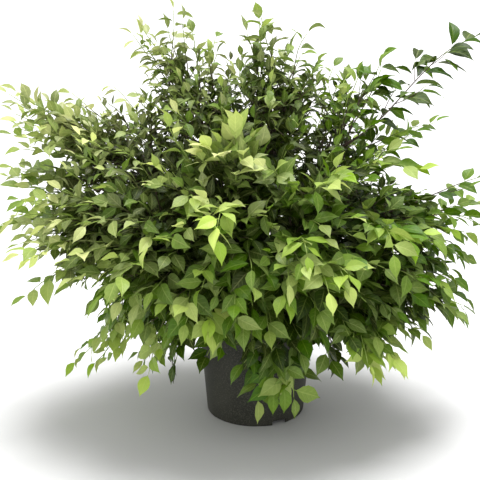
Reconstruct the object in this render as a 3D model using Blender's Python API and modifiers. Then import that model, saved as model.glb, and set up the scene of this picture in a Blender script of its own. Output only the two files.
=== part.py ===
"""A Japanese snowbell shrub in a nursery pot: pot, potting mix, woody stems and leafy sprays.

Metres, +Z up. The origin is the middle of the pot's underside, on the surface that it stands on.
-Y is the side that is looked at, and +X is its right.
"""

import math
import random

import bmesh
import bpy
from mathutils import Matrix, Quaternion, Vector
from mathutils.bvhtree import BVHTree

COLLECTION = "japanese_snowbell"
UP = Vector((0.0, 0.0, 1.0))
GAP = 0.0003

# Pot: a tapered moulded shell with a rolled rim, and a foot ring cut by drainage notches
POT_HEIGHT = 0.285
POT_FOOT_RADIUS = 0.1235
POT_TOP_RADIUS = 0.1480
POT_WALL = 0.0022
POT_SIDES = 36
RIM_PROUD = 0.0045
RIM_DEPTH = 0.020
RIM_ROUND = 0.0018
FLOOR_UNDERSIDE = 0.016
FLOOR_THICKNESS = 0.003
FOOT_RING_WIDTH = 0.0045
FOOT_ROUND = 0.0050
BOSS_RADIUS = 0.030
NOTCH_HEIGHT = 0.0130
NOTCH_WIDTH = 0.039
NOTCH_REACH = 0.030
NOTCH_COUNT = 3
FIRST_NOTCH_DEG = -62.0

# Potting mix: fills the pot, with a plain hole for each stem
SOIL_TOP = 0.258
SOIL_CROWN = 0.006
HOLE_CLEARANCE = 0.0006
HOLE_SIDES = 8
STEM_SUNK = 0.050
STEM_STRAIGHT = 0.060

# Woody stems: name, hole angle in degrees, hole radius, end point of the wood, base radius
STEMS = (
    ("right_upper", 8, 0.052, (0.23, -0.02, 0.70), 0.0075),
    ("right", -20, 0.060, (0.28, -0.06, 0.52), 0.0070),
    ("right_low", -48, 0.066, (0.22, -0.13, 0.385), 0.0060),
    ("front_right", -76, 0.054, (0.09, -0.19, 0.48), 0.0070),
    ("front", -106, 0.056, (-0.05, -0.20, 0.52), 0.0070),
    ("front_left", -140, 0.062, (-0.19, -0.15, 0.43), 0.0065),
    ("left", 184, 0.060, (-0.31, -0.03, 0.46), 0.0075),
    ("left_upper", 160, 0.046, (-0.31, 0.04, 0.64), 0.0070),
    ("back_left", 128, 0.060, (-0.19, 0.20, 0.56), 0.0070),
    ("top_left", 205, 0.020, (-0.17, 0.00, 0.74), 0.0080),
    ("top_right", 20, 0.016, (0.05, -0.02, 0.76), 0.0080),
    ("back", 88, 0.056, (0.02, 0.22, 0.54), 0.0070),
    ("back_right", 46, 0.060, (0.23, 0.19, 0.54), 0.0070),
)
STEM_SHOULDER = 0.400
WOOD_END_RADIUS = 0.0032
WOOD_STEP = 0.085
WOOD_RESOLUTION = 1

# Leafy sprays: name, stem, share of the stem's length where it leaves, tip, pitch of its end in
# degrees above level, and leaf length. The tip is that of the last leaf.
SPRAYS = (
    ("right_upper_arch", "right_upper", 1.00, (0.57, 0.05, 0.955), 18, 0.068),
    ("right_upper_side", "right_upper", 0.90, (0.32, 0.05, 0.930), 66, 0.062),
    ("right_upper_fall", "right_upper", 0.78, (0.41, -0.16, 0.640), -12, 0.060),
    ("right_far", "right", 1.00, (0.60, 0.00, 0.620), 12, 0.062),
    ("right_mid", "right", 0.93, (0.56, -0.10, 0.480), -38, 0.064),
    ("right_front", "right", 0.80, (0.34, -0.32, 0.480), -42, 0.058),
    ("right_low_far", "right_low", 1.00, (0.52, -0.15, 0.275), -34, 0.062),
    ("right_low_back", "right_low", 0.86, (0.44, -0.02, 0.240), -52, 0.064),
    ("right_low_front", "right_low", 0.92, (0.35, -0.27, 0.200), -34, 0.070),
    ("front_right_out", "front_right", 1.00, (0.20, -0.44, 0.420), -42, 0.066),
    ("front_right_mid", "front_right", 0.88, (0.10, -0.46, 0.490), -48, 0.058),
    ("front_right_trail", "front_right", 0.72, (0.036, -0.270, 0.098), -86, 0.078),
    ("front_right_rise", "front_right", 0.94, (0.20, -0.36, 0.680), 14, 0.058),
    ("front_rise", "front", 1.00, (-0.05, -0.32, 0.780), 22, 0.062),
    ("front_mid", "front", 0.80, (-0.09, -0.49, 0.560), -44, 0.060),
    ("front_low", "front", 0.76, (-0.115, -0.36, 0.315), -52, 0.068),
    ("front_left_out", "front_left", 1.00, (-0.24, -0.40, 0.500), -38, 0.060),
    ("front_left_trail", "front_left", 0.84, (-0.262, -0.22, 0.135), -76, 0.056),
    ("front_left_low", "front_left", 0.92, (-0.33, -0.30, 0.345), -44, 0.062),
    ("left_low", "left", 0.80, (-0.475, -0.13, 0.150), -30, 0.052),
    ("left_fall", "left", 0.90, (-0.575, -0.16, 0.315), -44, 0.062),
    ("left_front", "left", 0.95, (-0.560, -0.27, 0.460), -20, 0.056),
    ("left_mid", "left", 1.00, (-0.650, -0.03, 0.480), -16, 0.060),
    ("left_upper_mid", "left_upper", 0.84, (-0.645, 0.06, 0.620), 4, 0.058),
    ("left_upper_tip", "left_upper", 1.00, (-0.635, 0.00, 0.835), 34, 0.060),
    ("left_upper_rise", "left_upper", 0.93, (-0.50, 0.15, 0.825), 36, 0.058),
    ("back_left_rise", "back_left", 1.00, (-0.41, 0.27, 0.825), 34, 0.056),
    ("back_left_out", "back_left", 0.88, (-0.48, 0.30, 0.480), -24, 0.060),
    ("back_left_low", "back_left", 0.78, (-0.27, 0.44, 0.390), -36, 0.060),
    ("top_left_tip", "top_left", 1.00, (-0.20, 0.00, 1.045), 84, 0.052),
    ("top_left_side", "top_left", 0.90, (-0.32, 0.05, 0.980), 56, 0.054),
    ("top_left_inner", "top_left", 0.82, (-0.09, 0.04, 0.970), 50, 0.050),
    ("top_right_tip", "top_right", 1.00, (0.00, -0.10, 1.035), 72, 0.060),
    ("top_right_side", "top_right", 0.86, (0.14, -0.05, 0.985), 52, 0.054),
    ("top_right_back", "top_right", 0.84, (0.21, 0.15, 0.900), 62, 0.056),
    ("back_rise", "back", 1.00, (0.05, 0.36, 0.800), 38, 0.056),
    ("back_mid", "back", 0.90, (-0.07, 0.49, 0.560), -22, 0.060),
    ("back_low", "back", 0.80, (0.09, 0.48, 0.360), -42, 0.060),
    ("back_right_far", "back_right", 1.00, (0.52, 0.24, 0.720), 14, 0.056),
    ("back_right_mid", "back_right", 0.90, (0.50, 0.27, 0.450), -26, 0.060),
    ("back_right_low", "back_right", 0.80, (0.30, 0.44, 0.420), -34, 0.060),
    ("back_right_rise", "back_right", 0.86, (0.28, 0.33, 0.760), 30, 0.056),
)
LEAST_PARTING = math.radians(40.0)
STUB_LENGTH = 0.034
STUB_RADII = (0.0030, 0.0025)
TWIG_RADII = (0.0022, 0.0010)
TWIG_STEP = 0.074
TWIG_RESOLUTION = 0
JOINT_GAP = 2 * GAP
SHORT_STEP = 0.006
LAST_LEAF_SHARE = 0.8

# Leaves: alternate, ovate with a drawn-out tip, folded on the midrib and curved back
LEAF_SPACING = 0.040
BARE_SHARE = 0.22
LEAF_WIDTH_SHARE = 0.54
LEAF_ROOT = 0.0012
LOWER_SHOULDER, LOWER_FULLNESS = 0.27, 0.94
UPPER_SHOULDER, UPPER_FULLNESS = 0.60, 0.78
MIDRIB_BEND = 0.44
BLADE_THICKNESS = 0.0008
LEAF_ANGLE_DEG = 52.0
FOLD_DEG = 16.0
RECURVE_DEG = 34.0
DROOP_LOW_DEG = 48.0
DROOP_HIGH_DEG = 20.0
CLEAR_THICKNESS = 0.0036
WEAVE_STEP_DEG = 20.0
WEAVE_TRIES = 7

COLOURS = {
    "pot_plastic": (0.035, 0.037, 0.030, 1.0),
    "potting_mix": (0.045, 0.030, 0.020, 1.0),
    "bark": (0.090, 0.055, 0.032, 1.0),
    "leaf": (0.110, 0.240, 0.040, 1.0),
}
ROUGHNESS = {"pot_plastic": 0.62, "potting_mix": 0.95, "bark": 0.80, "leaf": 0.48}


def clear_scene():
    for item in list(bpy.data.objects):
        bpy.data.objects.remove(item, do_unlink=True)


def new_collection(name):
    made = bpy.data.collections.new(name)
    bpy.context.scene.collection.children.link(made)
    return made


def material(slot):
    found = bpy.data.materials.get(slot)
    if found is None:
        found = bpy.data.materials.new(slot)
        found.use_nodes = True
        shader = found.node_tree.nodes["Principled BSDF"]
        shader.inputs["Base Color"].default_value = COLOURS[slot]
        shader.inputs["Roughness"].default_value = ROUGHNESS[slot]
    return found


def add_object(name, mesh, collection, slot=None):
    item = bpy.data.objects.new(name, mesh)
    collection.objects.link(item)
    if slot:
        mesh.materials.clear()
        mesh.materials.append(material(slot))
    return item


def draw(low, high, *key):
    """A number between low and high that depends only on its key."""
    return low + (high - low) * random.Random("/".join(map(str, key))).random()


def bezier(p0, p1, p2, p3, count=80):
    points = []
    for i in range(count + 1):
        t = i / count
        s = 1.0 - t
        points.append(p0 * s**3 + p1 * (3 * s * s * t) + p2 * (3 * s * t * t) + p3 * t**3)
    return points


class Path:
    """A route through points, read by the distance along it."""

    def __init__(self, points):
        self.points = points
        self.reach = [0.0]
        for a, b in zip(points, points[1:]):
            self.reach.append(self.reach[-1] + (b - a).length)
        self.length = self.reach[-1]

    def at(self, distance):
        distance = min(max(distance, 0.0), self.length)
        for i in range(1, len(self.reach)):
            if self.reach[i] >= distance:
                span = self.reach[i] - self.reach[i - 1]
                return self.points[i - 1].lerp(self.points[i], (distance - self.reach[i - 1]) / span)
        return self.points[-1].copy()

    def along(self, distance):
        step = 0.004
        return (self.at(distance + step) - self.at(distance - step)).normalized()


def turned(name, profile, sides, collection, slot):
    """A profile of (radius, height) points turned about Z."""
    mesh = bpy.data.meshes.new(name)
    verts = [(radius, 0.0, height) for radius, height in profile]
    mesh.from_pydata(verts, [(i, i + 1) for i in range(len(verts) - 1)], [])
    made = add_object(name, mesh, collection, slot)
    screw = made.modifiers.new("turn", "SCREW")
    screw.steps = sides
    screw.render_steps = sides
    screw.use_merge_vertices = True
    screw.merge_threshold = 0.00005
    return made


def cut_away(target, cutter, cutters):
    """Hides the cutter and cuts it from the target."""
    cutters.objects.link(cutter)
    cutter.hide_render = True
    cutter.display_type = "WIRE"
    cut = target.modifiers.new(cutter.name, "BOOLEAN")
    cut.operation = "DIFFERENCE"
    cut.object = cutter


def part_of(path, start, end, step, first=0.0, last=0.0):
    """A coarser path along part of a path: equal steps, with a short first or last one if asked."""
    pieces = max(2, round((end - start - first - last) / step))
    span = (end - start - first - last) / pieces
    places = [start + first + span * i for i in range(pieces + 1)]
    places = ([start] if first else []) + places + ([end] if last else [])
    return Path([path.at(place) for place in places])


def tube(name, path, radii, resolution, collection):
    """A tapered round tube through the points of a path, as a closed mesh object."""
    curve = bpy.data.curves.new(name, "CURVE")
    curve.dimensions = "3D"
    curve.bevel_depth = 1.0
    curve.bevel_resolution = resolution
    curve.use_fill_caps = True
    spline = curve.splines.new("POLY")
    spline.points.add(len(path.points) - 1)
    for i, point in enumerate(spline.points):
        point.co = (*path.points[i], 1.0)
        point.radius = radii[0] + (radii[1] - radii[0]) * i / (len(path.points) - 1)
    guide = bpy.data.objects.new(name + "_guide", curve)
    collection.objects.link(guide)
    graph = bpy.context.evaluated_depsgraph_get()
    mesh = bpy.data.meshes.new_from_object(guide.evaluated_get(graph))
    made = bpy.data.objects.new(name, mesh)
    made.matrix_world = guide.matrix_world
    collection.objects.link(made)
    bpy.data.objects.remove(guide, do_unlink=True)
    body = bmesh.new()
    body.from_mesh(mesh)
    bmesh.ops.remove_doubles(body, verts=body.verts, dist=0.00002)
    bmesh.ops.recalc_face_normals(body, faces=body.faces)
    body.to_mesh(mesh)
    body.free()
    return made


def grow_together(base, others, slot):
    """Joins the objects of a collection to base by one union, and removes them."""
    joint = base.modifiers.new("grown_together", "BOOLEAN")
    joint.operation = "UNION"
    joint.solver = "MANIFOLD"
    joint.operand_type = "COLLECTION"
    joint.collection = others
    graph = bpy.context.evaluated_depsgraph_get()
    mesh = bpy.data.meshes.new_from_object(base.evaluated_get(graph))
    base.modifiers.clear()
    base.data = mesh
    mesh.materials.clear()
    mesh.materials.append(material(slot))
    for item in list(others.objects):
        bpy.data.objects.remove(item, do_unlink=True)
    bpy.data.collections.remove(others)


def surface_of(item):
    """The object's own faces, to test what would cross them."""
    return BVHTree.FromPolygons(
        [tuple(v.co) for v in item.data.vertices], [tuple(p.vertices) for p in item.data.polygons]
    )


def wall_radius(height):
    """Outer radius of the pot's wall at a height."""
    return POT_FOOT_RADIUS + (POT_TOP_RADIUS - POT_FOOT_RADIUS) * height / POT_HEIGHT


def inner_radius(height):
    return wall_radius(height) - POT_WALL


def pot_profile():
    """From the inside floor out, up the inner wall, over the rim and down to the foot."""
    floor_top = FLOOR_UNDERSIDE + FLOOR_THICKNESS
    rim_bottom = POT_HEIGHT - RIM_DEPTH
    rim_outside = wall_radius(POT_HEIGHT) + RIM_PROUD
    ring_inside = POT_FOOT_RADIUS - FOOT_RING_WIDTH
    return [
        (0.0, floor_top),
        (inner_radius(floor_top) - FOOT_ROUND, floor_top),
        (inner_radius(floor_top + FOOT_ROUND), floor_top + FOOT_ROUND),
        (inner_radius(POT_HEIGHT), POT_HEIGHT - RIM_ROUND),
        (inner_radius(POT_HEIGHT) + RIM_ROUND, POT_HEIGHT),
        (rim_outside - RIM_ROUND, POT_HEIGHT),
        (rim_outside, POT_HEIGHT - RIM_ROUND),
        (wall_radius(rim_bottom) + RIM_PROUD, rim_bottom + RIM_ROUND),
        (wall_radius(rim_bottom), rim_bottom),
        (wall_radius(FOOT_ROUND), FOOT_ROUND),
        (POT_FOOT_RADIUS - 0.3 * FOOT_ROUND, 0.0),
        (ring_inside, 0.0),
        (ring_inside, FLOOR_UNDERSIDE),
        (BOSS_RADIUS, FLOOR_UNDERSIDE),
        (BOSS_RADIUS, 0.0),
        (0.0, 0.0),
    ]


def make_pot(parts, cutters):
    """The shell, with the notches cut from its foot ring."""
    pot = turned("nursery_pot", pot_profile(), POT_SIDES, parts, "pot_plastic")
    middle = POT_FOOT_RADIUS - FOOT_RING_WIDTH / 2
    for i in range(NOTCH_COUNT):
        angle = math.radians(FIRST_NOTCH_DEG + 360.0 * i / NOTCH_COUNT)
        mesh = bpy.data.meshes.new(f"notch_{i + 1}")
        block = bmesh.new()
        size = Matrix.Diagonal((NOTCH_REACH, NOTCH_WIDTH, 2 * NOTCH_HEIGHT, 1.0))
        bmesh.ops.create_cube(block, size=1.0, matrix=size)
        block.to_mesh(mesh)
        block.free()
        cutter = bpy.data.objects.new(f"notch_{i + 1}", mesh)
        cutter.location = (middle * math.cos(angle), middle * math.sin(angle), 0.0)
        cutter.rotation_euler.z = angle
        cut_away(pot, cutter, cutters)


def make_potting_mix(parts, cutters):
    """The filling, slightly crowned, with a hole for each stem."""
    bottom = FLOOR_UNDERSIDE + FLOOR_THICKNESS + GAP
    knee = bottom + FOOT_ROUND
    profile = [
        (0.0, SOIL_TOP + SOIL_CROWN),
        (0.55 * inner_radius(SOIL_TOP), SOIL_TOP + 0.7 * SOIL_CROWN),
        (inner_radius(SOIL_TOP) - GAP, SOIL_TOP),
        (inner_radius(knee) - GAP, knee),
        (inner_radius(bottom) - FOOT_ROUND - GAP, bottom),
        (0.0, bottom),
    ]
    mix = turned("potting_mix", profile, POT_SIDES, parts, "potting_mix")
    for name, angle_deg, radius, _, base_radius in STEMS:
        bore = bmesh.new()
        hole_radius = (base_radius + HOLE_CLEARANCE) / math.cos(math.pi / HOLE_SIDES)
        depth = 2 * (STEM_SUNK + HOLE_CLEARANCE)
        bmesh.ops.create_cone(
            bore,
            cap_ends=True,
            segments=HOLE_SIDES,
            radius1=hole_radius,
            radius2=hole_radius,
            depth=depth,
        )
        mesh = bpy.data.meshes.new("hole_" + name)
        bore.to_mesh(mesh)
        bore.free()
        cutter = bpy.data.objects.new("hole_" + name, mesh)
        cutter.location = hole_place(angle_deg, radius, SOIL_TOP)
        cut_away(mix, cutter, cutters)


def hole_place(angle_deg, radius, height):
    angle = math.radians(angle_deg)
    return Vector((radius * math.cos(angle), radius * math.sin(angle), height))


def stem_path(stem):
    """Straight out of the mix, up past the rim, then over to the stem's end."""
    _, angle_deg, radius, end, _ = stem
    foot = hole_place(angle_deg, radius, SOIL_TOP - STEM_SUNK)
    collar = foot + UP * STEM_STRAIGHT
    end = Vector(end)
    shoulder = Vector((collar.x * 1.1, collar.y * 1.1, max(STEM_SHOULDER, 0.55 * end.z + 0.12)))
    reach = end - shoulder
    approach = end - Vector((reach.x, reach.y, 0.55 * reach.z)) * 0.45
    return Path([foot] + bezier(collar, shoulder, approach, end))


def spray_path(spray, stems):
    """Leaves the stem at an angle and curves over to its tip."""
    _, owner, share, tip, pitch_deg, leaf = spray
    stem = stems[owner]
    start = stem.at(share * stem.length)
    to_tip = (Vector(tip) - start).normalized()
    level = Vector((to_tip.x, to_tip.y, 0.0)).normalized()
    pitch = math.radians(pitch_deg)
    arriving = level * math.cos(pitch) + UP * math.sin(pitch)
    tip = Vector(tip) - arriving * (LAST_LEAF_SHARE * leaf)
    leaving = stem.along(share * stem.length)
    if share < 1.0:
        sideways = (to_tip - leaving * to_tip.dot(leaving)).normalized()
        parting = max(LEAST_PARTING, 0.8 * leaving.angle(to_tip))
        leaving = leaving * math.cos(parting) + sideways * math.sin(parting)
    pull = 0.36 * (tip - start).length
    return Path(bezier(start, start + leaving * pull, tip - arriving * pull, tip))


def leaf_stations(name, path):
    """Distances along a spray of its leaves, the last one at the tip."""
    first = max(BARE_SHARE * path.length, LEAF_SPACING)
    count = max(3, round((path.length - first) / LEAF_SPACING))
    step = (path.length - first) / count
    places = [first + step * (i + draw(-0.12, 0.12, name, i, "place")) for i in range(count)]
    return places + [path.length - LEAF_ROOT]


def leaf_frame(name, path, index, distance, last, turn_deg=0.0):
    """Where a leaf starts, the way it points and the way its upper side faces."""
    at = path.at(distance)
    along = path.along(min(distance, path.length - 0.005))
    spin = draw(0.0, 2 * math.pi, name, "spin")
    reference = UP if abs(along.z) < 0.86 else Vector((math.cos(spin), math.sin(spin), 0.0))
    side = along.cross(reference).normalized()
    hand = 0.0 if last else (1.0 if index % 2 else -1.0)
    splay = math.radians(LEAF_ANGLE_DEG + draw(-12, 12, name, index, "splay"))
    pointing = along * math.cos(splay * abs(hand)) + side * (hand * math.sin(splay))
    high = min(max((at.z - 0.25) / 0.65, 0.0), 1.0)
    droop_deg = DROOP_LOW_DEG + (DROOP_HIGH_DEG - DROOP_LOW_DEG) * high
    droop = math.radians(droop_deg + draw(-14, 14, name, index, "droop"))
    pointing = (pointing * math.cos(droop) - UP * math.sin(droop)).normalized()
    pointing = Quaternion(UP, math.radians(turn_deg)) @ pointing
    outward = Vector((at.x, at.y, 0.0)).normalized()
    facing = UP + outward * 0.35
    facing = (facing - pointing * facing.dot(pointing)).normalized()
    roll = math.radians(draw(-24, 24, name, index, "roll"))
    return at, pointing, Quaternion(pointing, roll) @ facing


def leaf_length(name, spray_leaf, index, count):
    along = math.sin(math.pi * (index + 0.6) / (count + 0.6))
    return spray_leaf * (0.80 + 0.28 * along) * draw(0.90, 1.12, name, index, "length")


def blade_points(frame, length):
    """Base, left shoulders, tip, right shoulders and midrib bend of one curved, folded blade."""
    at, pointing, facing = frame
    bend = math.radians(RECURVE_DEG)
    fold = math.radians(FOLD_DEG)
    lifted = Quaternion(pointing.cross(facing), bend / 2)
    pointing, facing = lifted @ pointing, lifted @ facing
    side = pointing.cross(facing)

    def point(share, fullness):
        turn = bend * share
        run, fall = length * math.sin(turn) / bend, length * (1 - math.cos(turn)) / bend
        half = fullness * LEAF_WIDTH_SHARE * length / 2
        level = facing * math.cos(turn) + pointing * math.sin(turn)
        out = side * (half * math.cos(fold)) + level * (abs(half) * math.sin(fold))
        return at + pointing * run - facing * fall + out

    return [
        point(0.0, 0.0),
        point(LOWER_SHOULDER, LOWER_FULLNESS),
        point(UPPER_SHOULDER, UPPER_FULLNESS),
        point(1.0, 0.0),
        point(UPPER_SHOULDER, -UPPER_FULLNESS),
        point(LOWER_SHOULDER, -LOWER_FULLNESS),
        point(MIDRIB_BEND, 0.0),
    ]


MIDRIB = 6
OUTLINE = 6


def blade_faces():
    """A fan of triangles from the midrib's bend to the outline."""
    return [(MIDRIB, i, (i + 1) % OUTLINE) for i in range(OUTLINE)]


def thick_blade(points, thickness):
    """Points and faces of a closed slab round a blade, to test what it would cross."""
    normal = sum(
        ((points[b] - points[a]).cross(points[c] - points[a]) for a, b, c in blade_faces()), Vector()
    ).normalized()
    both = [p + normal * thickness / 2 for p in points] + [p - normal * thickness / 2 for p in points]
    count = len(points)
    faces = blade_faces() + [(c + count, b + count, a + count) for a, b, c in blade_faces()]
    for i in range(OUTLINE):
        j = (i + 1) % OUTLINE
        faces += [(i, i + count, j + count), (i, j + count, j)]
    return both, faces


def make_blade(name, points, collection):
    """A leaf blade, as an open folded surface given its thickness."""
    mesh = bpy.data.meshes.new(name)
    mesh.from_pydata(points, [], blade_faces())
    blade = add_object(name, mesh, collection)
    thick = blade.modifiers.new("thickness", "SOLIDIFY")
    thick.thickness = BLADE_THICKNESS
    thick.offset = 0.0
    return blade


class Crowd:
    """What stands where, so that no leaf crosses another piece."""

    def __init__(self):
        self.standing = []

    def add(self, owner, tree, middle, radius):
        self.standing.append((owner, tree, middle, radius))

    def crosses(self, owner, tree, middle, radius):
        for other, standing, place, reach in self.standing:
            near = (middle - place).length < radius + reach
            if near and other != owner and standing.overlap(tree):
                return True
        return False


def grow_leaves(spray, path, crowd, leaves):
    """Sets the spray's leaves, turning one that would cross something, or leaving it out."""
    name, leaf = spray[0], spray[5]
    stations = leaf_stations(name, path)
    for index, distance in enumerate(stations):
        length = leaf_length(name, leaf, index, len(stations))
        for attempt in range(WEAVE_TRIES):
            turn = WEAVE_STEP_DEG * ((attempt + 1) // 2) * (1 if attempt % 2 else -1)
            frame = leaf_frame(name, path, index, distance, index == len(stations) - 1, turn)
            points = blade_points(frame, length)
            tree = BVHTree.FromPolygons(*thick_blade(points, CLEAR_THICKNESS))
            middle = (points[0] + points[3]) / 2
            if not crowd.crosses(name + "_twig", tree, middle, 0.6 * length):
                make_blade(f"{name}_leaf_{index}", points, leaves)
                crowd.add(f"{name}_leaf_{index}", tree, middle, 0.6 * length)
                break


def make_stems(parts, stems, sprays, crowd):
    """Each stem's wood, with a short stub where each side spray leaves it."""
    for name, _, _, _, base_radius in STEMS:
        path = stems[name]
        radii = (base_radius, WOOD_END_RADIUS)
        route = part_of(path, 0.0, path.length, WOOD_STEP, STEM_STRAIGHT, SHORT_STEP)
        wood = tube("stem_" + name, route, radii, WOOD_RESOLUTION, parts)
        stubs = new_collection("stubs_" + name)
        for spray in SPRAYS:
            if spray[1] == name and spray[2] < 1.0:
                route = part_of(sprays[spray[0]], 0.0, STUB_LENGTH, STUB_LENGTH / 2)
                tube("stub", route, STUB_RADII, TWIG_RESOLUTION, stubs)
        grow_together(wood, stubs, "bark")
        middle = sum((v.co for v in wood.data.vertices), Vector()) / len(wood.data.vertices)
        reach = max((v.co - middle).length for v in wood.data.vertices)
        crowd.add("stem_" + name, surface_of(wood), middle, reach)


def make_sprays(parts, sprays, crowd):
    """Each spray's green twig, then all their leaves, then one body for each spray."""
    twigs, routes = {}, {}
    for spray in SPRAYS:
        name, path = spray[0], sprays[spray[0]]
        start = JOINT_GAP if spray[2] == 1.0 else STUB_LENGTH + JOINT_GAP
        routes[name] = part_of(path, start, path.length, TWIG_STEP, first=SHORT_STEP)
        twigs[name] = tube("spray_" + name, routes[name], TWIG_RADII, TWIG_RESOLUTION, parts)
        middle = (path.points[0] + path.points[-1]) / 2
        reach = max((p - middle).length for p in path.points)
        crowd.add(name + "_twig", surface_of(twigs[name]), middle, reach)
    for spray in SPRAYS:
        leaves = new_collection("leaves_" + spray[0])
        grow_leaves(spray, routes[spray[0]], crowd, leaves)
        grow_together(twigs[spray[0]], leaves, "leaf")


def main():
    clear_scene()
    parts = new_collection(COLLECTION)
    cutters = new_collection("cutters")
    make_pot(parts, cutters)
    make_potting_mix(parts, cutters)
    stems = {stem[0]: stem_path(stem) for stem in STEMS}
    sprays = {spray[0]: spray_path(spray, stems) for spray in SPRAYS}
    crowd = Crowd()
    make_stems(parts, stems, sprays, crowd)
    make_sprays(parts, sprays, crowd)


main()
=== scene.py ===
"""Looks of a Japanese snowbell shrub in its nursery pot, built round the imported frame.

Metres, +Z up, in the frame's own axes: -Y is the side that is looked at and +X is its right.
Each stem and leafy spray follows the route that its solid has. Side twigs and inner shoots, which
are too many for the solids, fill the crown between them.
"""

import math
import random

import bmesh
import bpy
import numpy as np
from bpy.props import FloatProperty, FloatVectorProperty, IntProperty, PointerProperty
from mathutils import Matrix, Quaternion, Vector, noise


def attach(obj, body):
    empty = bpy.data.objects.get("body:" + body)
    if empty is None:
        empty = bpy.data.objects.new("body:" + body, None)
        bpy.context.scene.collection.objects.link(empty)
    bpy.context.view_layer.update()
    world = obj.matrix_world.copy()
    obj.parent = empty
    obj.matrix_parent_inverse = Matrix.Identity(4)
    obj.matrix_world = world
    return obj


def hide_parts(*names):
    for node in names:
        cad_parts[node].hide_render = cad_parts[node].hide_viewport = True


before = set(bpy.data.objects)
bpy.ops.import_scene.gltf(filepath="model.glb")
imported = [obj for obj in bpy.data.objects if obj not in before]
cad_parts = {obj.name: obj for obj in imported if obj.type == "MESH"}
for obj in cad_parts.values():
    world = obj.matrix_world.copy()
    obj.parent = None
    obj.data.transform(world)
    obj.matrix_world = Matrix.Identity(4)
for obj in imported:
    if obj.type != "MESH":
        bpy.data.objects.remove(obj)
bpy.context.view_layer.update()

bl_info = {
    "name": "Potted snowbell shrub",
    "version": (1, 0, 0),
    "blender": (4, 5, 0),
    "location": "View3D > Sidebar > Snowbell",
    "description": "Pot, potting mix, stems and foliage of a young snowbell shrub, with their stage",
    "category": "Add Mesh",
}

UP = Vector((0.0, 0.0, 1.0))

# Stems: name, hole angle in degrees, hole radius, end point of the wood, base radius
STEMS = (
    ("right_upper", 8, 0.052, (0.23, -0.02, 0.70), 0.0075),
    ("right", -20, 0.060, (0.28, -0.06, 0.52), 0.0070),
    ("right_low", -48, 0.066, (0.22, -0.13, 0.385), 0.0060),
    ("front_right", -76, 0.054, (0.09, -0.19, 0.48), 0.0070),
    ("front", -106, 0.056, (-0.05, -0.20, 0.52), 0.0070),
    ("front_left", -140, 0.062, (-0.19, -0.15, 0.43), 0.0065),
    ("left", 184, 0.060, (-0.31, -0.03, 0.46), 0.0075),
    ("left_upper", 160, 0.046, (-0.31, 0.04, 0.64), 0.0070),
    ("back_left", 128, 0.060, (-0.19, 0.20, 0.56), 0.0070),
    ("top_left", 205, 0.020, (-0.17, 0.00, 0.74), 0.0080),
    ("top_right", 20, 0.016, (0.05, -0.02, 0.76), 0.0080),
    ("back", 88, 0.056, (0.02, 0.22, 0.54), 0.0070),
    ("back_right", 46, 0.060, (0.23, 0.19, 0.54), 0.0070),
)
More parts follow.
